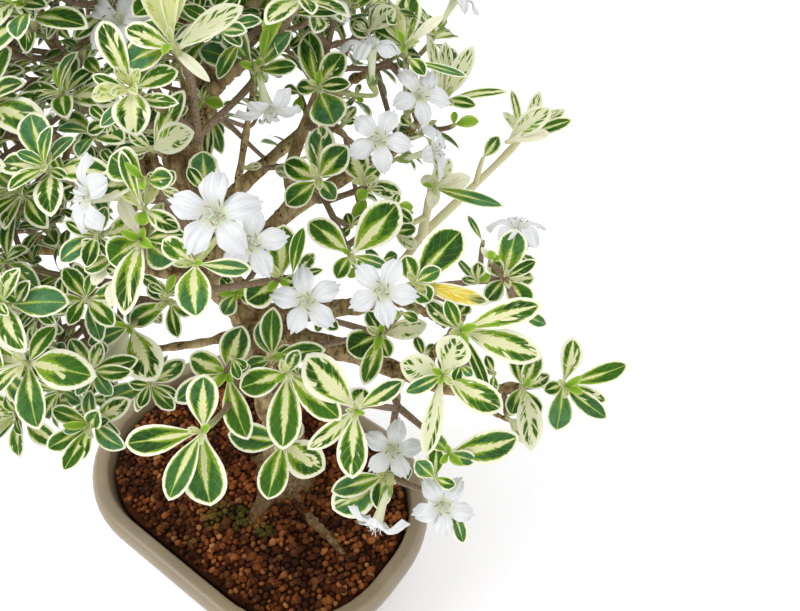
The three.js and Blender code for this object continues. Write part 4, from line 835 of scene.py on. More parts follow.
LEAF, STEM, PETAL, BARK = leaf_material(), stem_material(), petal_material(), bark_material()
SOIL, GLAZE = soil_material(), glaze_material()
ANTHER = plain_material("anther", (132, 104, 92), (190, 170, 148), 900, 0.7)
CALYX = plain_material("calyx", (96, 132, 50), (168, 186, 98), 500, 0.5)
SCREEN = plain_material("drain_mesh_plastic", (28, 30, 28), (46, 48, 44), 300, 0.6)

# ------------------------------------------------------------------------- leaves
Rosette = namedtuple("Rosette", "centre facing up right leaves")

# A blade's half width along it, over its greatest; and its columns from edge to edge.
BLADE_ROWS = np.array([
    (0, 0.11), (0.05, 0.12), (0.12, 0.22), (0.2, 0.42), (0.29, 0.64), (0.38, 0.82),
    (0.48, 0.95), (0.58, 1.0), (0.68, 0.985), (0.77, 0.90), (0.85, 0.74), (0.915, 0.53),
    (0.965, 0.28), (1.0, 0.0),
])
BLADE_ACROSS = np.array([-1, -0.72, -0.44, -0.2, 0, 0.2, 0.44, 0.72, 1])
# The rows and columns that a small or hidden leaf keeps.
COARSE_ROWS, COARSE_ACROSS = [0, 2, 3, 5, 7, 9, 11, 12, 13], [0, 1, 3, 4, 5, 7, 8]
# Kinds of leaf, as (tone, age, cool): bluish (a painted sheen), cream, yellow, pale, lime,
# golden and mottled. A plain green leaf ("g") draws its own, now and then with a little painted sheen.
TONES = {"b": (0, 0, 0.9), "c": (0.45, 0, 0), "y": (0.72, 0.35, -0.35), "p": (1, 0, 0),
         "l": (0, 1, 0), "o": (0.5, 0, -1), "m": (0.66, 0.14, 0)}


def make_rosette(at, facing, leaves=()):
    facing = unit(np.array(facing, float))
    up = unit(np.array(UP) - facing * facing[2])
    return Rosette(np.array(at, float), facing, up, np.cross(up, facing), leaves)


def clock_way(rosette, hour):
    angle = math.radians(30 * hour)
    return math.cos(angle) * rosette.up + math.sin(angle) * rosette.right


def hours_apart(first, second):
    apart = abs(first - second) % 12
    return min(apart, 12 - apart)


def seat_leaves(leaves):
    """The level on the stem that each leaf grows from, so that none grow into others."""
    seats = []
    for hour, *_ in leaves:
        face = -math.floor((hour - leaves[0][0]) / 3 + 0.5) % 4
        level = 0
        while any(seat[2] == level and (seat[1] == face or hours_apart(seat[0], hour) < 2)
                  for seat in seats):
            level += 1
        seats.append((hour, face, level))
    return [level for _, _, level in seats]


def blade(skin, rosette, leaf, level, rise, key, coarse=False):
    """A leaf blade: folded along its midrib, arched, a little twisted and wavy."""
    hour, reach, width, kind = (*leaf, "g")[:4]
    width = width * LEAF_WIDER
    start = rosette.centre + rosette.facing * (level + 0.5) * NODE_STEP
    along = clock_way(rosette, hour) * reach + rosette.facing * rise
    length = np.linalg.norm(along)
    onward = along / length
    face = unit(rosette.facing - onward * (rosette.facing @ onward))
    side = np.cross(onward, face)
    lean, bow, sway, ruffle, phase, shape = (draw(key, 60 + k) for k in range(6))
    t = BLADE_ROWS[COARSE_ROWS if coarse else slice(None), 0]
    c = BLADE_ACROSS[COARSE_ACROSS if coarse else slice(None)]
    half = 0.5 * width * np.interp(t ** (0.9 + 0.3 * shape), *BLADE_ROWS.T)
    across = half[:, None] * c
    fold = np.sqrt(across**2 + (0.10 * width) ** 2) - 0.10 * width
    roll = np.radians(16 * (lean - 0.5)) * (0.3 + t)[:, None]
    arch = length * (0.10 * (0.3 + bow) * 4 * t * (1 - t) - 0.05 * t**3)
    wave = 0.05 * width * ruffle * np.sin(7 * t + 6.3 * phase)[:, None] * c**2 * np.sign(c)
    bend = length * 0.05 * (sway - 0.5) * (4 * t * (1 - t))
    height = BLADE_FOLD * fold + arch[:, None] + wave - 0.05 * width * c**4
    flat = across * np.cos(roll) - height * np.sin(roll) * 0.3 + bend[:, None]
    high = height + across * np.sin(roll)
    points = start + t[:, None, None] * along + flat[:, :, None] * side + high[:, :, None] * face
    shades = TONES.get(kind) or (0.45 * draw(key, 70) ** 2, 0, 0.8 * draw(key, 72) ** 4)
    skin.grid(points, 0, sheet((c + 1) / 2, t[:, None]), (draw(key, 71), *shades))


def dress(skin, rosette, key, seeds, per_level, loose, small=0):
    """A rosette's leaves, coarse where shorter than `small`; gives its levels."""
    levels = seat_leaves(rosette.leaves)
    for k, (leaf, level) in enumerate(zip(rosette.leaves, levels)):
        rise = leaf[1] * (per_level * level + loose * draw(*seeds, 40 + k))
        blade(skin, rosette, leaf, level, rise, key + k, coarse=leaf[1] < small)
    return 1 + max(levels)


def little_leaves(skin, rosette, levels, key):
    """Small upright leaves and buds in the middle of a rosette."""
    count = 2 + int(3 * draw(key, 90))
    for k in range(count):
        hour = 12 * draw(key, 91) + k * 12 / count + draw(key, 92 + k)
        reach = 2.6 + 2.6 * draw(key, 100 + k)
        kind = "l" if draw(key, 110 + k) > 0.55 else "y"
        rise = reach * (0.5 + 0.8 * draw(key, 120 + k))
        leaf = (hour, reach * 0.7, reach * 0.42, kind)
        blade(skin, rosette, leaf, levels - 0.6, rise, key + 7 * k, coarse=True)


# ------------------------------------------------------------------------- shoots
def crossed_hour(k, *keys):
    """The hour of a rosette's leaf k, in crossed pairs that turn a little."""
    return 3 * draw(*keys, 1) + 6 * (k % 2) + 2.2 * (k // 2) + 0.7 * draw(*keys, 10 + k)


def dome_point(azimuth, elevation, depth):
    """A point on the dome, or inside it by its depth, and the way out from the middle."""
    elevation = math.radians(elevation)
    out = level_way(math.radians(azimuth)) * math.cos(elevation) + (0, 0, math.sin(elevation))
    return out * DOME_RADII * depth + DOME_CENTRE, out


def dome_shoot(index, name, limb, along, azimuth, elevation, *more):
    """A shoot that the photograph doesn't show, with leaves by rule."""
    rosettes = []
    for r, (turned, rise, depth) in enumerate([(0, 0, 1), (-17, -9, 0.86), (16, 9, 0.88), *more]):
        at, out = dome_point(azimuth + turned, elevation + rise, depth)
        leaves = []
        for k in range(6):
            reach = 14.5 - 2.6 * (k // 2) + 3 * draw(index, r, 20 + k)
            width = reach * (0.36 + 0.1 * draw(index, r, 30 + k))
            kind = "c" if draw(index, r, 80 + k) > 0.82 else "g"
            leaves.append((crossed_hour(k, index, r), reach, width, kind))
        rosettes.append(make_rosette(at, out * 0.8 + UP, leaves))
    return name, limb, along, rosettes


def bowed(start, rosette, shares):
    """A point on the way to a rosette, so that a stem comes to it along its axis."""
    bend = rosette.centre - 0.4 * np.linalg.norm(rosette.centre - start) * rosette.facing
    return np.dot(shares, [start, bend, rosette.centre])


def stem(skin, rosette, below, fork, levels, crown, pale):
    """A green stem from the points below it, past the fork, up through its rosette."""
    centre, facing = rosette.centre, rosette.facing
    chain = [*below, bowed(fork, rosette, (0.25, 0.5, 0.25)), centre,
             centre + facing * NODE_STEP * levels]
    if crown:
        chain.append(centre + facing * (TOP_BLOOM - TUBE_LENGTH - 1.5))
    points = curve_points(chain, 7 * len(chain) - 6)
    share = np.linspace(0, 1, len(points))
    radii = (0.95 - 0.35 * share + 0.08 * np.sin(share * 23)) * (1 + 0.5 * pale)
    tube(skin, points, radii, 7, 1, ages_and_painted_shade=(1 - pale) * (1.1 - 1.15 * share), pale=pale)
    return points


def leafy_shoot(index, name, limb, along, rosettes):
    """A shoot's leaves and stems, the ends of the twig below it, and its stems' points."""
    skin = Skin()
    origin = limb_point(limb, along)
    onward = np.mean([rosette.centre for rosette in rosettes], axis=0) - origin
    start, heading = origin + 0.45 * onward, unit(onward)
    foot = start + heading * GAP / 2
    fork = foot + heading * 3
    stems = []
    for r, rosette in enumerate(rosettes):
        key = SHOOT_KEY_STEP * index + ROSETTE_KEY_STEP * r
        levels = dress(skin, rosette, key, (index, r), 0.16, 0.2)
        little_leaves(skin, rosette, levels, key + 50)
        below = [foot, fork] if r == 0 else [fork - 1.2 * heading]
        crown = r == 0 and name in DOME_BLOOMS
        stems.append(stem(skin, rosette, below, fork, levels, crown, float(name == PALE_SHOOT)))
    return skin, (origin, start), np.vstack(stems)


SHOOTS = [
    (name, limb, along, [make_rosette(at, FRONT, leaves) for at, leaves in rosettes])
    for name, limb, along, rosettes in FRONT_SHOOTS
]
SHOOTS += [dome_shoot(index, *shoot) for index, shoot in enumerate(DOME_SHOOTS)]


def leafy_shoots(blooms):
    """Every shoot with its blooms' stalks; gives the twigs below them and the stems."""
    twigs, stems = [], {}
    for index, (name, limb, along, rosettes) in enumerate(SHOOTS):
        skin, ends, stems[name] = leafy_shoot(index, name, limb, along, rosettes)
        for bloom in blooms:
            if bloom.shoot == name and not bloom.on_top:
                bloom_stalk(skin, rosettes[bloom.rosette], bloom)
        skin.build(f"foliage_{name}", [LEAF, STEM], "foliage", [f"shoot_{name}"])
        twigs.append((*ends, 0.85 * (name == PALE_SHOOT)))
    return twigs, stems


# ------------------------------------------------------- rosettes beyond the solids
WOOD = np.vstack([curve_points(points, 14 * len(points)) for points, _ in LIMBS.values()])


def nearest_wood(target, wood=WOOD):
    """The point of the wood that a twig to `target` grows from: near, and not above it."""
    away = np.linalg.norm(wood - target, axis=1)
    return wood[np.argmin(away + 0.8 * np.maximum(wood[:, 2] - target[2] + 4, 0))]


def dressed_twig(skin, origin, rosette, key, pale=0.0):
    """A rosette's leaves, and the thin twig that carries it; gives the twig's points."""
    levels = dress(skin, rosette, key, (key,), 0.12, 0.3, small=9)
    chain = [origin, bowed(origin, rosette, (0.3, 0.45, 0.25)), rosette.centre,
             rosette.centre + rosette.facing * levels * NODE_STEP]
    points = curve_points(chain, max(8, int(np.linalg.norm(rosette.centre - origin) / 2)))
    share = np.linspace(0, 1, len(points))
    tube(skin, points, 0.9 - 0.42 * share, 6, 1, ages_and_painted_shade=(1 - pale) * (1.2 - 1.25 * share), pale=pale)
    return points


def leaf_pairs(skin, points, key):
    """Pairs of small leaves along a twig."""
    away = np.linalg.norm(points[-1] - points[0])
    tangents = np.gradient(points, axis=0)
    for k, station in enumerate(np.arange(0.38, 0.82, 7.5 / max(away, 12))):
        n = int(station * (len(points) - 1))
        pair = make_rosette(points[n], tangents[n])
        reach = 4.5 + 5 * draw(key, 130 + k)
        for side in (0, 6):
            leaf = (3 * (k % 2) + side + 1.5 * draw(key, 140 + k), reach, reach * 0.42)
            blade(skin, pair, leaf, 0, reach * 0.7, key + 150 + 2 * k + side, coarse=True)


def whorl(key, count, reach):
    """Leaves for a rosette that the photograph doesn't show."""
    leaves = []
    for k in range(count):
        size = reach * (1 - 0.17 * (k // 2)) * (0.85 + 0.3 * draw(key, 20 + k))
        kind = "ggggggbbccc"[int(11 * draw(key, 80 + k))]
        leaves.append((crossed_hour(k, key), size, size * (0.38 + 0.1 * draw(key, 30 + k)), kind))
    return leaves


def in_clear_view(point):
    """Whether a filling spray here would hide or crowd what the photograph shows.

    The limits across and above are tangents in the camera's view.
    """
    pitch = math.radians(CAMERA_PITCH)
    away = point - CAMERA_AT
    depth = away @ (0, math.cos(pitch), -math.sin(pitch))
    across = away[0] / depth
    above = away @ (0, math.sin(pitch), math.cos(pitch)) / depth
    if across > 0.03:
        return -0.45 < above < 0.5
    if across > -0.38:
        return above < 0.345 and not (across < -0.26 and depth > 190 and above > -0.02)
    return False


def spray(skin, key, tip, facing):
    """A twig with a rosette at its end and two smaller ones beside it."""
    origin = nearest_wood(tip * 0.75 + DOME_CENTRE * 0.25)
    rosette = make_rosette(tip, facing, whorl(key, 6 + 2 * int(1.6 * draw(key, 2)), SPRAY_REACH))
    leaf_pairs(skin, dressed_twig(skin, origin, rosette, key), key)
    little_leaves(skin, rosette, 2, key + 40)
    side = unit(np.cross(facing, tip - origin + (0.01, 0, 0)))
    for k, turned in enumerate((-1, 1)):
        at = (origin + (0.72 + 0.16 * draw(key, 3 + k)) * (tip - origin)
              + side * turned * (9 + 5 * draw(key, 5 + k)) - facing * 3)
        leaves = whorl(key + 300 + k, 6, SMALL_REACH)
        small = make_rosette(at, facing + 0.4 * turned * side, leaves)
        below = origin + 0.45 * (tip - origin) - facing * 2
        leaf_pairs(skin, dressed_twig(skin, below, small, key + 310 + 20 * k), key + 350 + k)


def build_foliage(skins, name):
    for part, skin in enumerate(skins):
        skin.build(f"{name}_{part + 1}", [LEAF, STEM], "foliage")


def extra_foliage(stems):
    """The small rosettes, each on a twig from the nearest wood or stem."""
    wood = np.vstack([WOOD, *stems.values()])
    skins = [Skin() for _ in range(EXTRA_PIECES)]
    for n, (at, leaves) in enumerate(EXTRA_ROSETTES):
        rosette = make_rosette(at, FRONT, leaves)
        origin = nearest_wood(rosette.centre, wood)
        pale = 0.85 * (stems[PALE_SHOOT] == origin).all(axis=1).any()
        skin = skins[n * EXTRA_PIECES // len(EXTRA_ROSETTES)]
        dressed_twig(skin, origin, rosette, EXTRA_KEY + EXTRA_KEY_STEP * n, pale)
    build_foliage(skins, "leaf_sprigs_front")


def filling_foliage():
    """Sprays over the rest of the crown, evenly spread by the golden angle."""
    skins = [Skin() for _ in range(FILL_PIECES)]
    lowest = math.sin(math.radians(FILL_LOWEST))
    for n in range(FILL_SPRAYS):
        key = FILL_KEY + FILL_KEY_STEP * n
        elevation = math.degrees(math.asin(lowest + (1 - lowest) * (n + 0.5) / FILL_SPRAYS))
        depth = 0.62 + 0.1 * draw(key, 7) if n % 3 == 2 else 0.82 + 0.12 * draw(key, 7)
        tip, out = dome_point(n * GOLDEN_ANGLE, elevation, depth)
        if not in_clear_view(tip):
            spray(skins[n % FILL_PIECES], key, tip, unit(out * 0.8 + UP))
    build_foliage(skins, "leaf_sprays_crown")


# ------------------------------------------------------------------------- blooms
Bloom = namedtuple("Bloom", "name shoot rosette face axis basis on_top")

# A lobe's half width along it, over the bloom's radius.
LOBE_ROWS = np.array([
    (0, 0.16), (0.18, 0.2), (0.42, 0.27), (0.66, 0.315), (0.85, 0.285), (1, 0.19),
])


def bloom_basis(axis, hour):
    """The bloom's own axes as columns: one lobe's direction, across it, and its axis."""
    photo_clock = make_rosette((0, 0, 0), FRONT)
    way = Vector(clock_way(photo_clock, hour))
    way = (way - axis * way.dot(axis)).normalized()
    return np.array([way, axis.cross(way), axis]).T


def all_blooms():
    """Every bloom: those that the photograph shows, and those on top of dome shoots."""
    blooms = []
    for name, shoot, r, face, axis, hour in BLOOMS:
        axis = Vector(axis).normalized()
        blooms.append(Bloom(name, shoot, r, Vector(face), axis, bloom_basis(axis, hour), False))
    shoots = {name: rosettes for name, _, _, rosettes in SHOOTS}
    for shoot in DOME_BLOOMS:
        rosette = shoots[shoot][0]
        axis = Vector(rosette.facing)
        face = Vector(rosette.centre) + axis * TOP_BLOOM
        spin = Matrix.Rotation(2 * draw(50, len(blooms)), 3, "Z")
        basis = np.array(UP.rotation_difference(axis).to_matrix() @ spin)
        blooms.append(Bloom(shoot, shoot, 0, face, axis, basis, True))
    return blooms


def lobe_angle(lobe):
    return lobe * 2 * math.pi / LOBES


def lobe_points(lobe, key):
    """One ruffled petal lobe with a three-toothed tip, from the throat outwards."""
    a = lobe_angle(lobe)
    s = np.linspace(0, 1, 13)[:, None]
    c = np.linspace(-1, 1, 13)[None]
    teeth = np.cos(2 * math.pi * c / 0.72)
    outward = BLOOM_RADIUS * (0.16 + (0.84 - 0.17 * np.abs(c) ** 1.5 + 0.045 * teeth) * s)
    sideways = c * BLOOM_RADIUS * np.interp(s, *LOBE_ROWS.T)
    bent, cupped, turned, bowed_up = (draw(key, lobe, 1 + k) for k in range(4))
    ridge = 0.13 * teeth * np.minimum(s * 3, 1)
    curl = 0.7 * np.sin(math.pi * s) * (0.6 + bowed_up) - 2.6 * (0.2 + bent) * s**2.2
    cup = 1.7 * (cupped - 0.62) * c**2 * np.sin(math.pi * (0.15 + 0.75 * s))
    frill = 0.4 * c**2 * np.sin(8 * s + 6 * turned) * s + 1.1 * c * (turned - 0.5) * s
    z = -1.3 * (1 - s) ** 3 + curl + cup + ridge + frill
    x = outward * math.cos(a) - sideways * math.sin(a)
    y = outward * math.sin(a) + sideways * math.cos(a)
    return sheet(x, y, z), sheet((c + 1) / 2, 0.2 + 0.8 * s)


def throat(skin, put, index):
    """The tube from outside, and the bowl of its throat from inside."""
    angle = circle(20)[None]
    depth = np.linspace(0, 1, 9)[:, None]
    share = np.linspace(1, 0, 6)[:, None]
    wide = BLOOM_RADIUS * (0.09 + 0.09 * (1 - depth) ** 1.8)
    outside = (wide, -1.3 - (TUBE_LENGTH - 1.5) * depth, 0.2 - 0.2 * depth, 9)
    inside = (1.5 * share, -2.5 + 1.4 * share**2, 0.2 * share, 8)
    for radius, z, v, seed in (outside, inside):
        points = sheet(radius * np.cos(angle), radius * np.sin(angle), z)
        uvs = sheet(angle / (2 * math.pi), v)
        skin.grid(put(points), 0, uvs, (draw(index, seed), 0, 0, 0), closed=True)


def stamens(skin, put, index):
    """A stamen with its anther between each two lobes, and the pistil's two tips."""
    for k in range(LOBES):
        angle = lobe_angle(k + 0.5) + 0.3 * draw(index, k, 4)
        lean = 0.6 + 0.8 * draw(index, k, 5)
        high = 0.4 + 1.2 * draw(index, k, 6)
        out, aside = level_way(angle), level_way(angle + math.pi / 2)
        top = out * (0.7 + lean) + (0, 0, high)
        tube(skin, put([out * 0.5 + (0, 0, -3), out * 0.8 + (0, 0, -0.6), top]), 0.11, 5)
        along = unit(out * 0.8 + (0, 0, 0.4) + 0.8 * aside) * 0.6
        anther = curve_points([top - along, top, top + along], 5)
        tube(skin, put(anther), [0.07, 0.13, 0.16, 0.13, 0.07], 6, 1)
    for turned in (-1, 1):
        tube(skin, put([(0, 0, -3), (0, 0, 0.6), (0.8 * turned, 0.3, 2.2)]), [0.16, 0.14, 0.1], 5)


def calyx(skin, put):
    """Five green points round the foot of the tube."""
    for k in range(LOBES):
        out = level_way(lobe_angle(k + 0.5))
        chain = [out * wide + (0, 0, high - TUBE_LENGTH)
                 for wide, high in ((0.5, 0), (1.15, 1.2), (1.3, 2.6))]
        tube(skin, put(curve_points(chain, 6)), [0.55, 0.5, 0.42, 0.32, 0.2, 0.06], 5, 2)


def flower(index, bloom):
    skin = Skin()

    def put(points):
        return np.asarray(points, float) @ bloom.basis.T + np.array(bloom.face)

    for lobe in range(LOBES):
        points, uvs = lobe_points(lobe, BLOOM_KEY + index)
        skin.grid(put(points), 0, uvs, (draw(index, lobe), 0, 0, 0))
    throat(skin, put, index)
    stamens(skin, put, index)
    calyx(skin, put)
    skin.build(f"flower_{bloom.name}", [PETAL, ANTHER, CALYX], "petal", [f"bloom_{bloom.name}"])


def bloom_stalk(skin, rosette, bloom):
    """The green stalk from a rosette to its bloom's tube, with a cup below the tube."""
    seat = np.array(bloom.face - bloom.axis * TUBE_LENGTH)
    cup = seat - 2.6 * np.array(bloom.axis)
    radii = np.interp(np.linspace(0, 1, 13), [0, 0.6, 1], [0.6, 0.55, 1.1])
    tube(skin, curve_points([rosette.centre, cup, seat], 13), radii, 7, 1)


# --------------------------------------------------------------------------- wood
def limb(skin, name, points, radii):
    """The trunk or a branch, thicker at its foot, with painted shade on its bark towards the soil."""
    step, sides, rough = (1.6, 20, 0.22) if name == "trunk" else (1.3, 12, 0.2)
    count = int(np.linalg.norm(np.diff(points, axis=0), axis=1).sum() / step)
    dense = curve_points(points, count)
    run = np.arange(count) * step
    wide = np.interp(np.linspace(0, 1, count), np.linspace(0, 1, len(points)), radii)
    if name == "trunk":
        wide *= 1 + 0.35 * np.exp(-((dense[:, 2] + 8) / 9) ** 2)
    else:
        wide *= 1 + 0.25 * np.exp(-run / 4)
    wide *= 1 + 0.05 * np.sin(run / 3.1 + len(name))
    # Painted shade on the bark: none from the top height up, full a fade's length below it.
    painted_shade = np.clip((PAINTED_SHADE_TOP - dense[:, 2]) / PAINTED_SHADE_FADE, 0, 1)
    tube(skin, dense, wide, sides, rough=rough, ages_and_painted_shade=painted_shade)


def root(skin, degrees, length, radius):
    """A surface root that runs from the trunk down into the soil."""
    foot = np.array([*TRUNK_FOOT, 0.0])
    onward = level_way(math.radians(degrees)) * length
    chain = [foot + (0, 0, 3), foot + onward * 0.45 + (0, 0, -3.2), foot + onward + (0, 0, -11)]
    wide = radius * np.interp(np.linspace(0, 1, 26), [0, 0.5, 1], [1.1, 0.85, 0.5])
    # The root takes the bark's full painted shade.
    tube(skin, curve_points(chain, 26), wide, 12, rough=0.25, ages_and_painted_shade=1)


def shoot_twig(skin, index, origin, start, pale):
    """The woody twig between a limb and a shoot."""
    count = max(int(np.linalg.norm(start - origin) / 1.2), 4)
    sag = (0, 0, 0.72 * draw(index, 200) - 0.36)
    dense = curve_points([origin, (origin + start) / 2 + sag, start], count)
    wide = np.linspace(1.6, 1.1, count) * (1 + 0.10 * np.sin(np.arange(count) * 1.3))
    tube(skin, dense, wide, 8, rough=0.18, pale=pale)


def wood(twigs):
    skin = Skin()
    for name, (points, radii) in LIMBS.items():
        limb(skin, name, points, radii)
    for row in ROOTS:
        root(skin, *row)
    for index, row in enumerate(twigs):
        shoot_twig(skin, index, *row)
    for points, thick, thin in THIN_BRANCHES:
        dense = curve_points(points, 12 * len(points))
        wide = np.linspace(thick, thin, len(dense)) * (1 + 0.12 * np.sin(np.arange(len(dense))))
        # Below the rim, the bark takes painted shade (up to 0.8).
        tube(skin, dense, wide, 8, rough=0.2, ages_and_painted_shade=np.clip(-dense[:, 2], 0, 0.8))
    skin.build("bark_wood", [BARK], "bark", ["trunk"])


# ---------------------------------------------------------------------------- pot
# The wall as height and inset from the outline: up the outside, over the lip and down
# the inside. A highlight is painted on the glaze at the lip's rounded edges, at these heights.
POT_WALL = [
    (FOOT_HEIGHT, UNDERSIDE_INSET), (9, 14), (9.6, 13), (11, 12.4), (20, 9.9), (32, 7.1), (40, 5.2),
    (43, 4.3), (44.2, 3.0), (45.3, 1.6), (46.8, 0.5), (48.6, 0.1), (50.5, 0), (52.4, 0.35),
    (53.8, 1.1), (54.6, 2.0), (55, 3.1), (55, 5.2), (54.8, 6.2), (54.2, 7.0), (53, 7.4), (50, 7.9),
    (46, 8.6), (FLOOR_Z, FLOOR_INSET),
]
PAINTED_RIM_HIGHLIGHT = {46.8: 0.25, 52.4: 0.35, 53.8: 0.7, 54.6: 0.8, 54.2: 0.5}
# A foot's half length and half width at each height.
FOOT_ROWS = [(7.6, 4.8, 0), (8.4, 5.4, 0.2), (9, 6, 0.8), (9.6, 6.5, 2), (10.8, 7.3, 6),
             (12, 8, FOOT_HEIGHT + 0.6)]


def outline(inset, z, turns=14):
    """The pot's oval-cornered outline at a height, `inset` from its widest."""
    x, y = POT_LENGTH / 2 - POT_CORNER, POT_WIDTH / 2 - POT_CORNER
    points = []
    for quarter, (cx, cy) in enumerate([(x, y), (-x, y), (-x, -y), (x, -y)]):
        for i in range(turns + 1):
            out = level_way((quarter + i / turns) * math.pi / 2)
            points.append(out * (POT_CORNER - inset) + (cx, cy, z))
    return np.array(points)


def pot():
    skin = Skin()
    rows = np.array([outline(inset, z) for z, inset in POT_WALL])
    values = np.zeros((*rows.shape[:2], len(SHADES)))
    # A painted highlight on the lip's rounded edges.
    values[:, :, 2] = [[PAINTED_RIM_HIGHLIGHT.get(z, 0.0)] for z, _ in POT_WALL]
    skin.grid(rows, 0, None, values, closed=True)
    plate(skin, UNDERSIDE_INSET, FOOT_HEIGHT, 1)
    plate(skin, FLOOR_INSET, FLOOR_Z, -1)
    angle = circle(24)
    for x in (-DRAIN_X, DRAIN_X):
        hole = x + DRAIN_RADIUS * np.cos(angle), DRAIN_RADIUS * np.sin(angle)
        skin.grid(np.array([sheet(*hole, z) for z in (FOOT_HEIGHT, FLOOR_Z)])[:, ::-1], closed=True)
    for x in (-FOOT_X, FOOT_X):
        for y in (-FOOT_Y, FOOT_Y):
            foot(skin, x, y)
    skin.build("glazed_pot", [GLAZE], "pot", ["pot"], place_pot)


def plate(skin, inset, z, order):
    """The pot's floor seen from one side, round its two drain holes."""
    edge = outline(inset, z)
    top = edge[:, 1].max()
    middle = sheet(0.0, np.linspace(-top, top, 9), z)
    for side in (-1, 1):
        centre = np.array([side * DRAIN_X, 0, 0])
        loop = np.vstack([edge[edge[:, 0] * side > 0], middle])
        turned = np.arctan2(loop[:, 1], loop[:, 0] - centre[0])
        spokes = np.sort(turned)
        hole = centre + sheet(DRAIN_RADIUS * np.cos(spokes), DRAIN_RADIUS * np.sin(spokes), z)
        rows = np.array([hole, loop[np.argsort(turned)]])
        skin.grid(rows[:, ::-order], closed=True)


def foot(skin, x, y):
    """A foot: an oval block with a softened lower edge."""
    angle = circle(28)
    long, wide = (np.sign(part) * np.abs(part) ** 0.6 for part in (np.cos(angle), np.sin(angle)))
    rows = np.array([sheet(x + a * long, y + b * wide, z) for a, b, z in FOOT_ROWS])
    skin.grid(rows, closed=True)
    skin.cap(rows[0][::-1], (x, y, 0))


# --------------------------------------------------------------------------- soil
def soil_height(x, y):
    """The soil's surface: a low dome with lumps, in the pot's frame."""
    wall_x, wall_y = POT_LENGTH / 2 - SOIL_INSET, POT_WIDTH / 2 - SOIL_INSET
    share = min(1, (abs(x / wall_x) ** 2.6 + abs(y / wall_y) ** 2.6) ** (1 / 2.6))
    lump = 0.9 * noise.noise(Vector((x * 0.11, y * 0.11, 3.1)))
    lump += 0.5 * noise.noise(Vector((x * 0.3, y * 0.3, 9)))
    return RIM_Z - SOIL_DROP + SOIL_DOME * (1 - share * share) + lump


def soil_bed():
    """The soil under the granules: a bed with a lumpy top."""
    skin = Skin()
    levels = [(18.6, FLOOR_Z + GAP), (9.4, 45), (SOIL_INSET, RIM_Z - SOIL_DROP - 1.2)]
    rows = [outline(inset, z, 8) for inset, z in levels]
    rows.insert(0, rows[0] * (0, 0, 1))
    edge = rows[-1][:, :2]
    for share in np.linspace(0.96, 0.0, 22):
        ring = edge * share
        rows.append(np.column_stack([ring, [soil_height(*p) - 1.4 for p in ring]]))
    skin.grid(np.array(rows), 0, None, (0.05, 0, 0, 0), closed=True)
    skin.build("soil_bed", [SOIL], "soil", transform=place_pot)


def inside_soil(x, y):
    """Whether a granule's middle lies inside the pot's wall."""
    beyond_x = max(abs(x) - (POT_LENGTH / 2 - POT_CORNER), 0)
    beyond_y = max(abs(y) - (POT_WIDTH / 2 - POT_CORNER), 0)
    return math.hypot(beyond_x, beyond_y) < POT_CORNER - GRANULE_INSET


def granule_template():
    shape = bmesh.new()
    bmesh.ops.create_icosphere(shape, subdivisions=1, radius=1)
    points = np.array([vertex.co[:] for vertex in shape.verts])
    faces = [[vertex.index for vertex in face.verts] for face in shape.faces]
    shape.free()
    return points, faces


def mossy(x, y, key):
    """How green a granule is."""
    near = max(1 - math.hypot(x - at[0], y - at[1]) / reach for at, reach in MOSS)
    return 0.75 * min(1, max(0, near * 2)) * (0.5 + 0.5 * draw(key, 14))


def granule(skin, template, faces, x, y, key, lift):
    """One granule: a lumpy ball, stretched, turned and half sunk in the soil."""
    size = 1.1 + 0.8 * draw(key, 3) ** 1.5
    stretch = np.array([0.8 + 0.5 * draw(key, 4), 0.8 + 0.4 * draw(key, 5), 0.65 + 0.3 * draw(key, 6)])
    axis = Vector((draw(key, 11) - 0.5, draw(key, 12) - 0.5, draw(key, 13) - 0.49)).normalized()
    spin = np.array(Matrix.Rotation(6.3 * draw(key, 7), 3, axis))
    lumps = [0.83 + 0.34 * draw(key, 20 + i) for i in range(len(template))]
    points = (template * np.array(lumps)[:, None] * stretch * size) @ spin.T
    z = soil_height(x, y) - 0.5 + lift + 0.5 * (draw(key, 8) - 0.5)
    skin.add(points + (x, y, z), faces, 0, None, (draw(key, 10), mossy(x, y, key), 0, 0))


def granules():
    """Loose granules in uneven rows round the trunk, with a second one on some."""
    skin = Skin()
    template, faces = granule_template()
    turned = Matrix.Rotation(-TURN, 2)
    for row in range(-GRANULE_ROWS, GRANULE_ROWS + 1):
        for column in range(-GRANULE_COLUMNS, GRANULE_COLUMNS + 1):
            key = GRANULE_KEY + 70 * (row + GRANULE_ROWS) + column + GRANULE_COLUMNS
            x = (column + 0.5 * (row % 2)) * GRANULE_PITCH + 1.1 * (draw(key, 1) - 0.5)
            y = row * GRANULE_PITCH * 0.866 + 1.1 * (draw(key, 2) - 0.5)
            from_trunk = (turned @ Vector((x, y)) - Vector(TRUNK_FOOT)).length
            if not inside_soil(x, y) or from_trunk < TRUNK_CLEAR:
                continue
            granule(skin, template, faces, x, y, key, 0.0)
            if draw(key, 9) > 0.72:
                granule(skin, template, faces, x + 0.9, y + 1.1, key + STACKED_KEY, 0.9)
    skin.build("soil_granules", [SOIL], "soil", ["soil"], place_pot)


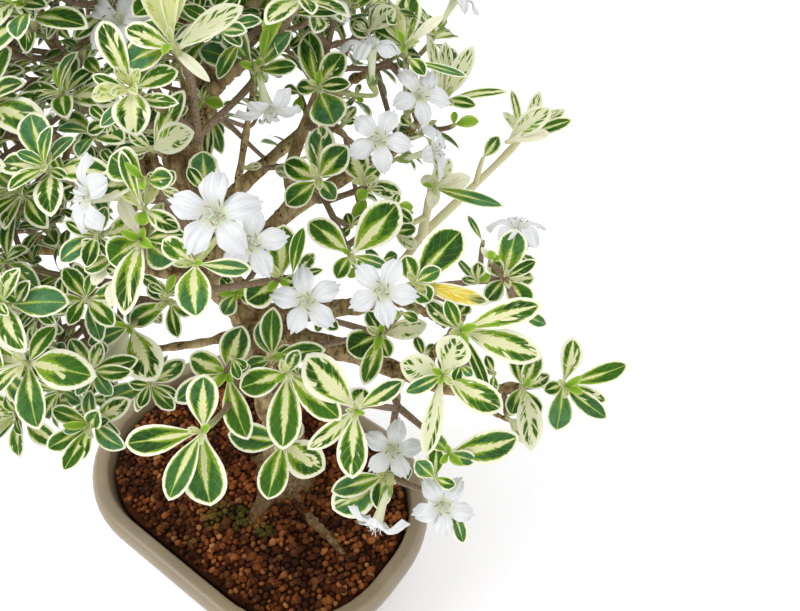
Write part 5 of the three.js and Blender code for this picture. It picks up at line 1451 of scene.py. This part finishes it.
def drain_screen(side, x):
    """A plastic mesh over a drain hole, of bars both ways."""
    skin = Skin()
    half = SCREEN_SIZE / 2
    z = FLOOR_Z + GAP + 0.5
    for at in np.linspace(BAR_RADIUS - half, half - BAR_RADIUS, SCREEN_BARS + 1):
        tube(skin, curve_points([(x - half, at, z), (x + half, at, z)], 3), BAR_RADIUS, 6)
        tube(skin, curve_points([(x + at, -half, z), (x + at, half, z)], 3), BAR_RADIUS, 6)
    skin.build(f"woven_screen_{side}", [SCREEN], "drain_mesh", [f"drain_mesh_{side}"], place_pot)


# ------------------------------------------------------------- camera, floor, light
def camera():
    data = bpy.data.cameras.new("camera")
    data.lens = CAMERA_LENS
    data.sensor_width = 36
    data.sensor_fit = "HORIZONTAL"
    data.clip_start, data.clip_end = 0.01, 20
    made = add_object("camera", data)
    made.location = place(CAMERA_AT)
    made.rotation_euler = (math.radians(90 - CAMERA_PITCH), 0, TURN)
    bpy.context.scene.camera = made


def floor():
    mesh = bpy.data.meshes.new("floor")
    size = 4.0
    mesh.from_pydata([(-size, -size, 0), (size, -size, 0), (size, size, 0), (-size, size, 0)],
                     [], [(0, 1, 2, 3)])
    g = Graph("pale_floor", Emission_Color=(1, 1, 1, 1), Emission_Strength=0.2)
    mesh.materials.append(g.finish((250, 250, 252), 0.9))
    add_object("floor", mesh)


def area_light(name, at, size, watts):
    """A round light that faces the tree."""
    data = bpy.data.lights.new(name, "AREA")
    data.shape = "DISK"
    data.size = size
    data.energy = watts
    made = add_object(name, data)
    made.location = at
    made.rotation_euler = (Vector((0, 0, 0.2)) - Vector(at)).to_track_quat("-Z", "Y").to_euler()


def lights():
    world = bpy.data.worlds.new("soft_studio")
    world.use_nodes = True
    background = world.node_tree.nodes["Background"]
    background.inputs["Color"].default_value = (1, 1, 1, 1)
    background.inputs["Strength"].default_value = WORLD_LIGHT
    bpy.context.scene.world = world
    area_light("key", (-0.5, -0.6, 1.3), 0.9, KEY_WATTS)
    area_light("fill", (1.0, -0.5, 0.8), 1.2, FILL_WATTS)


# ----------------------------------------------------------------- the whole scene
def tree():
    blooms = all_blooms()
    twigs, stems = leafy_shoots(blooms)
    for index, bloom in enumerate(blooms):
        flower(index, bloom)
    extra_foliage(stems)
    filling_foliage()
    wood(twigs)


tree()
pot()
soil_bed()
granules()
drain_screen("left", -DRAIN_X)
drain_screen("right", DRAIN_X)
camera()
floor()
lights()
bpy.context.scene.view_settings.view_transform = "Standard"
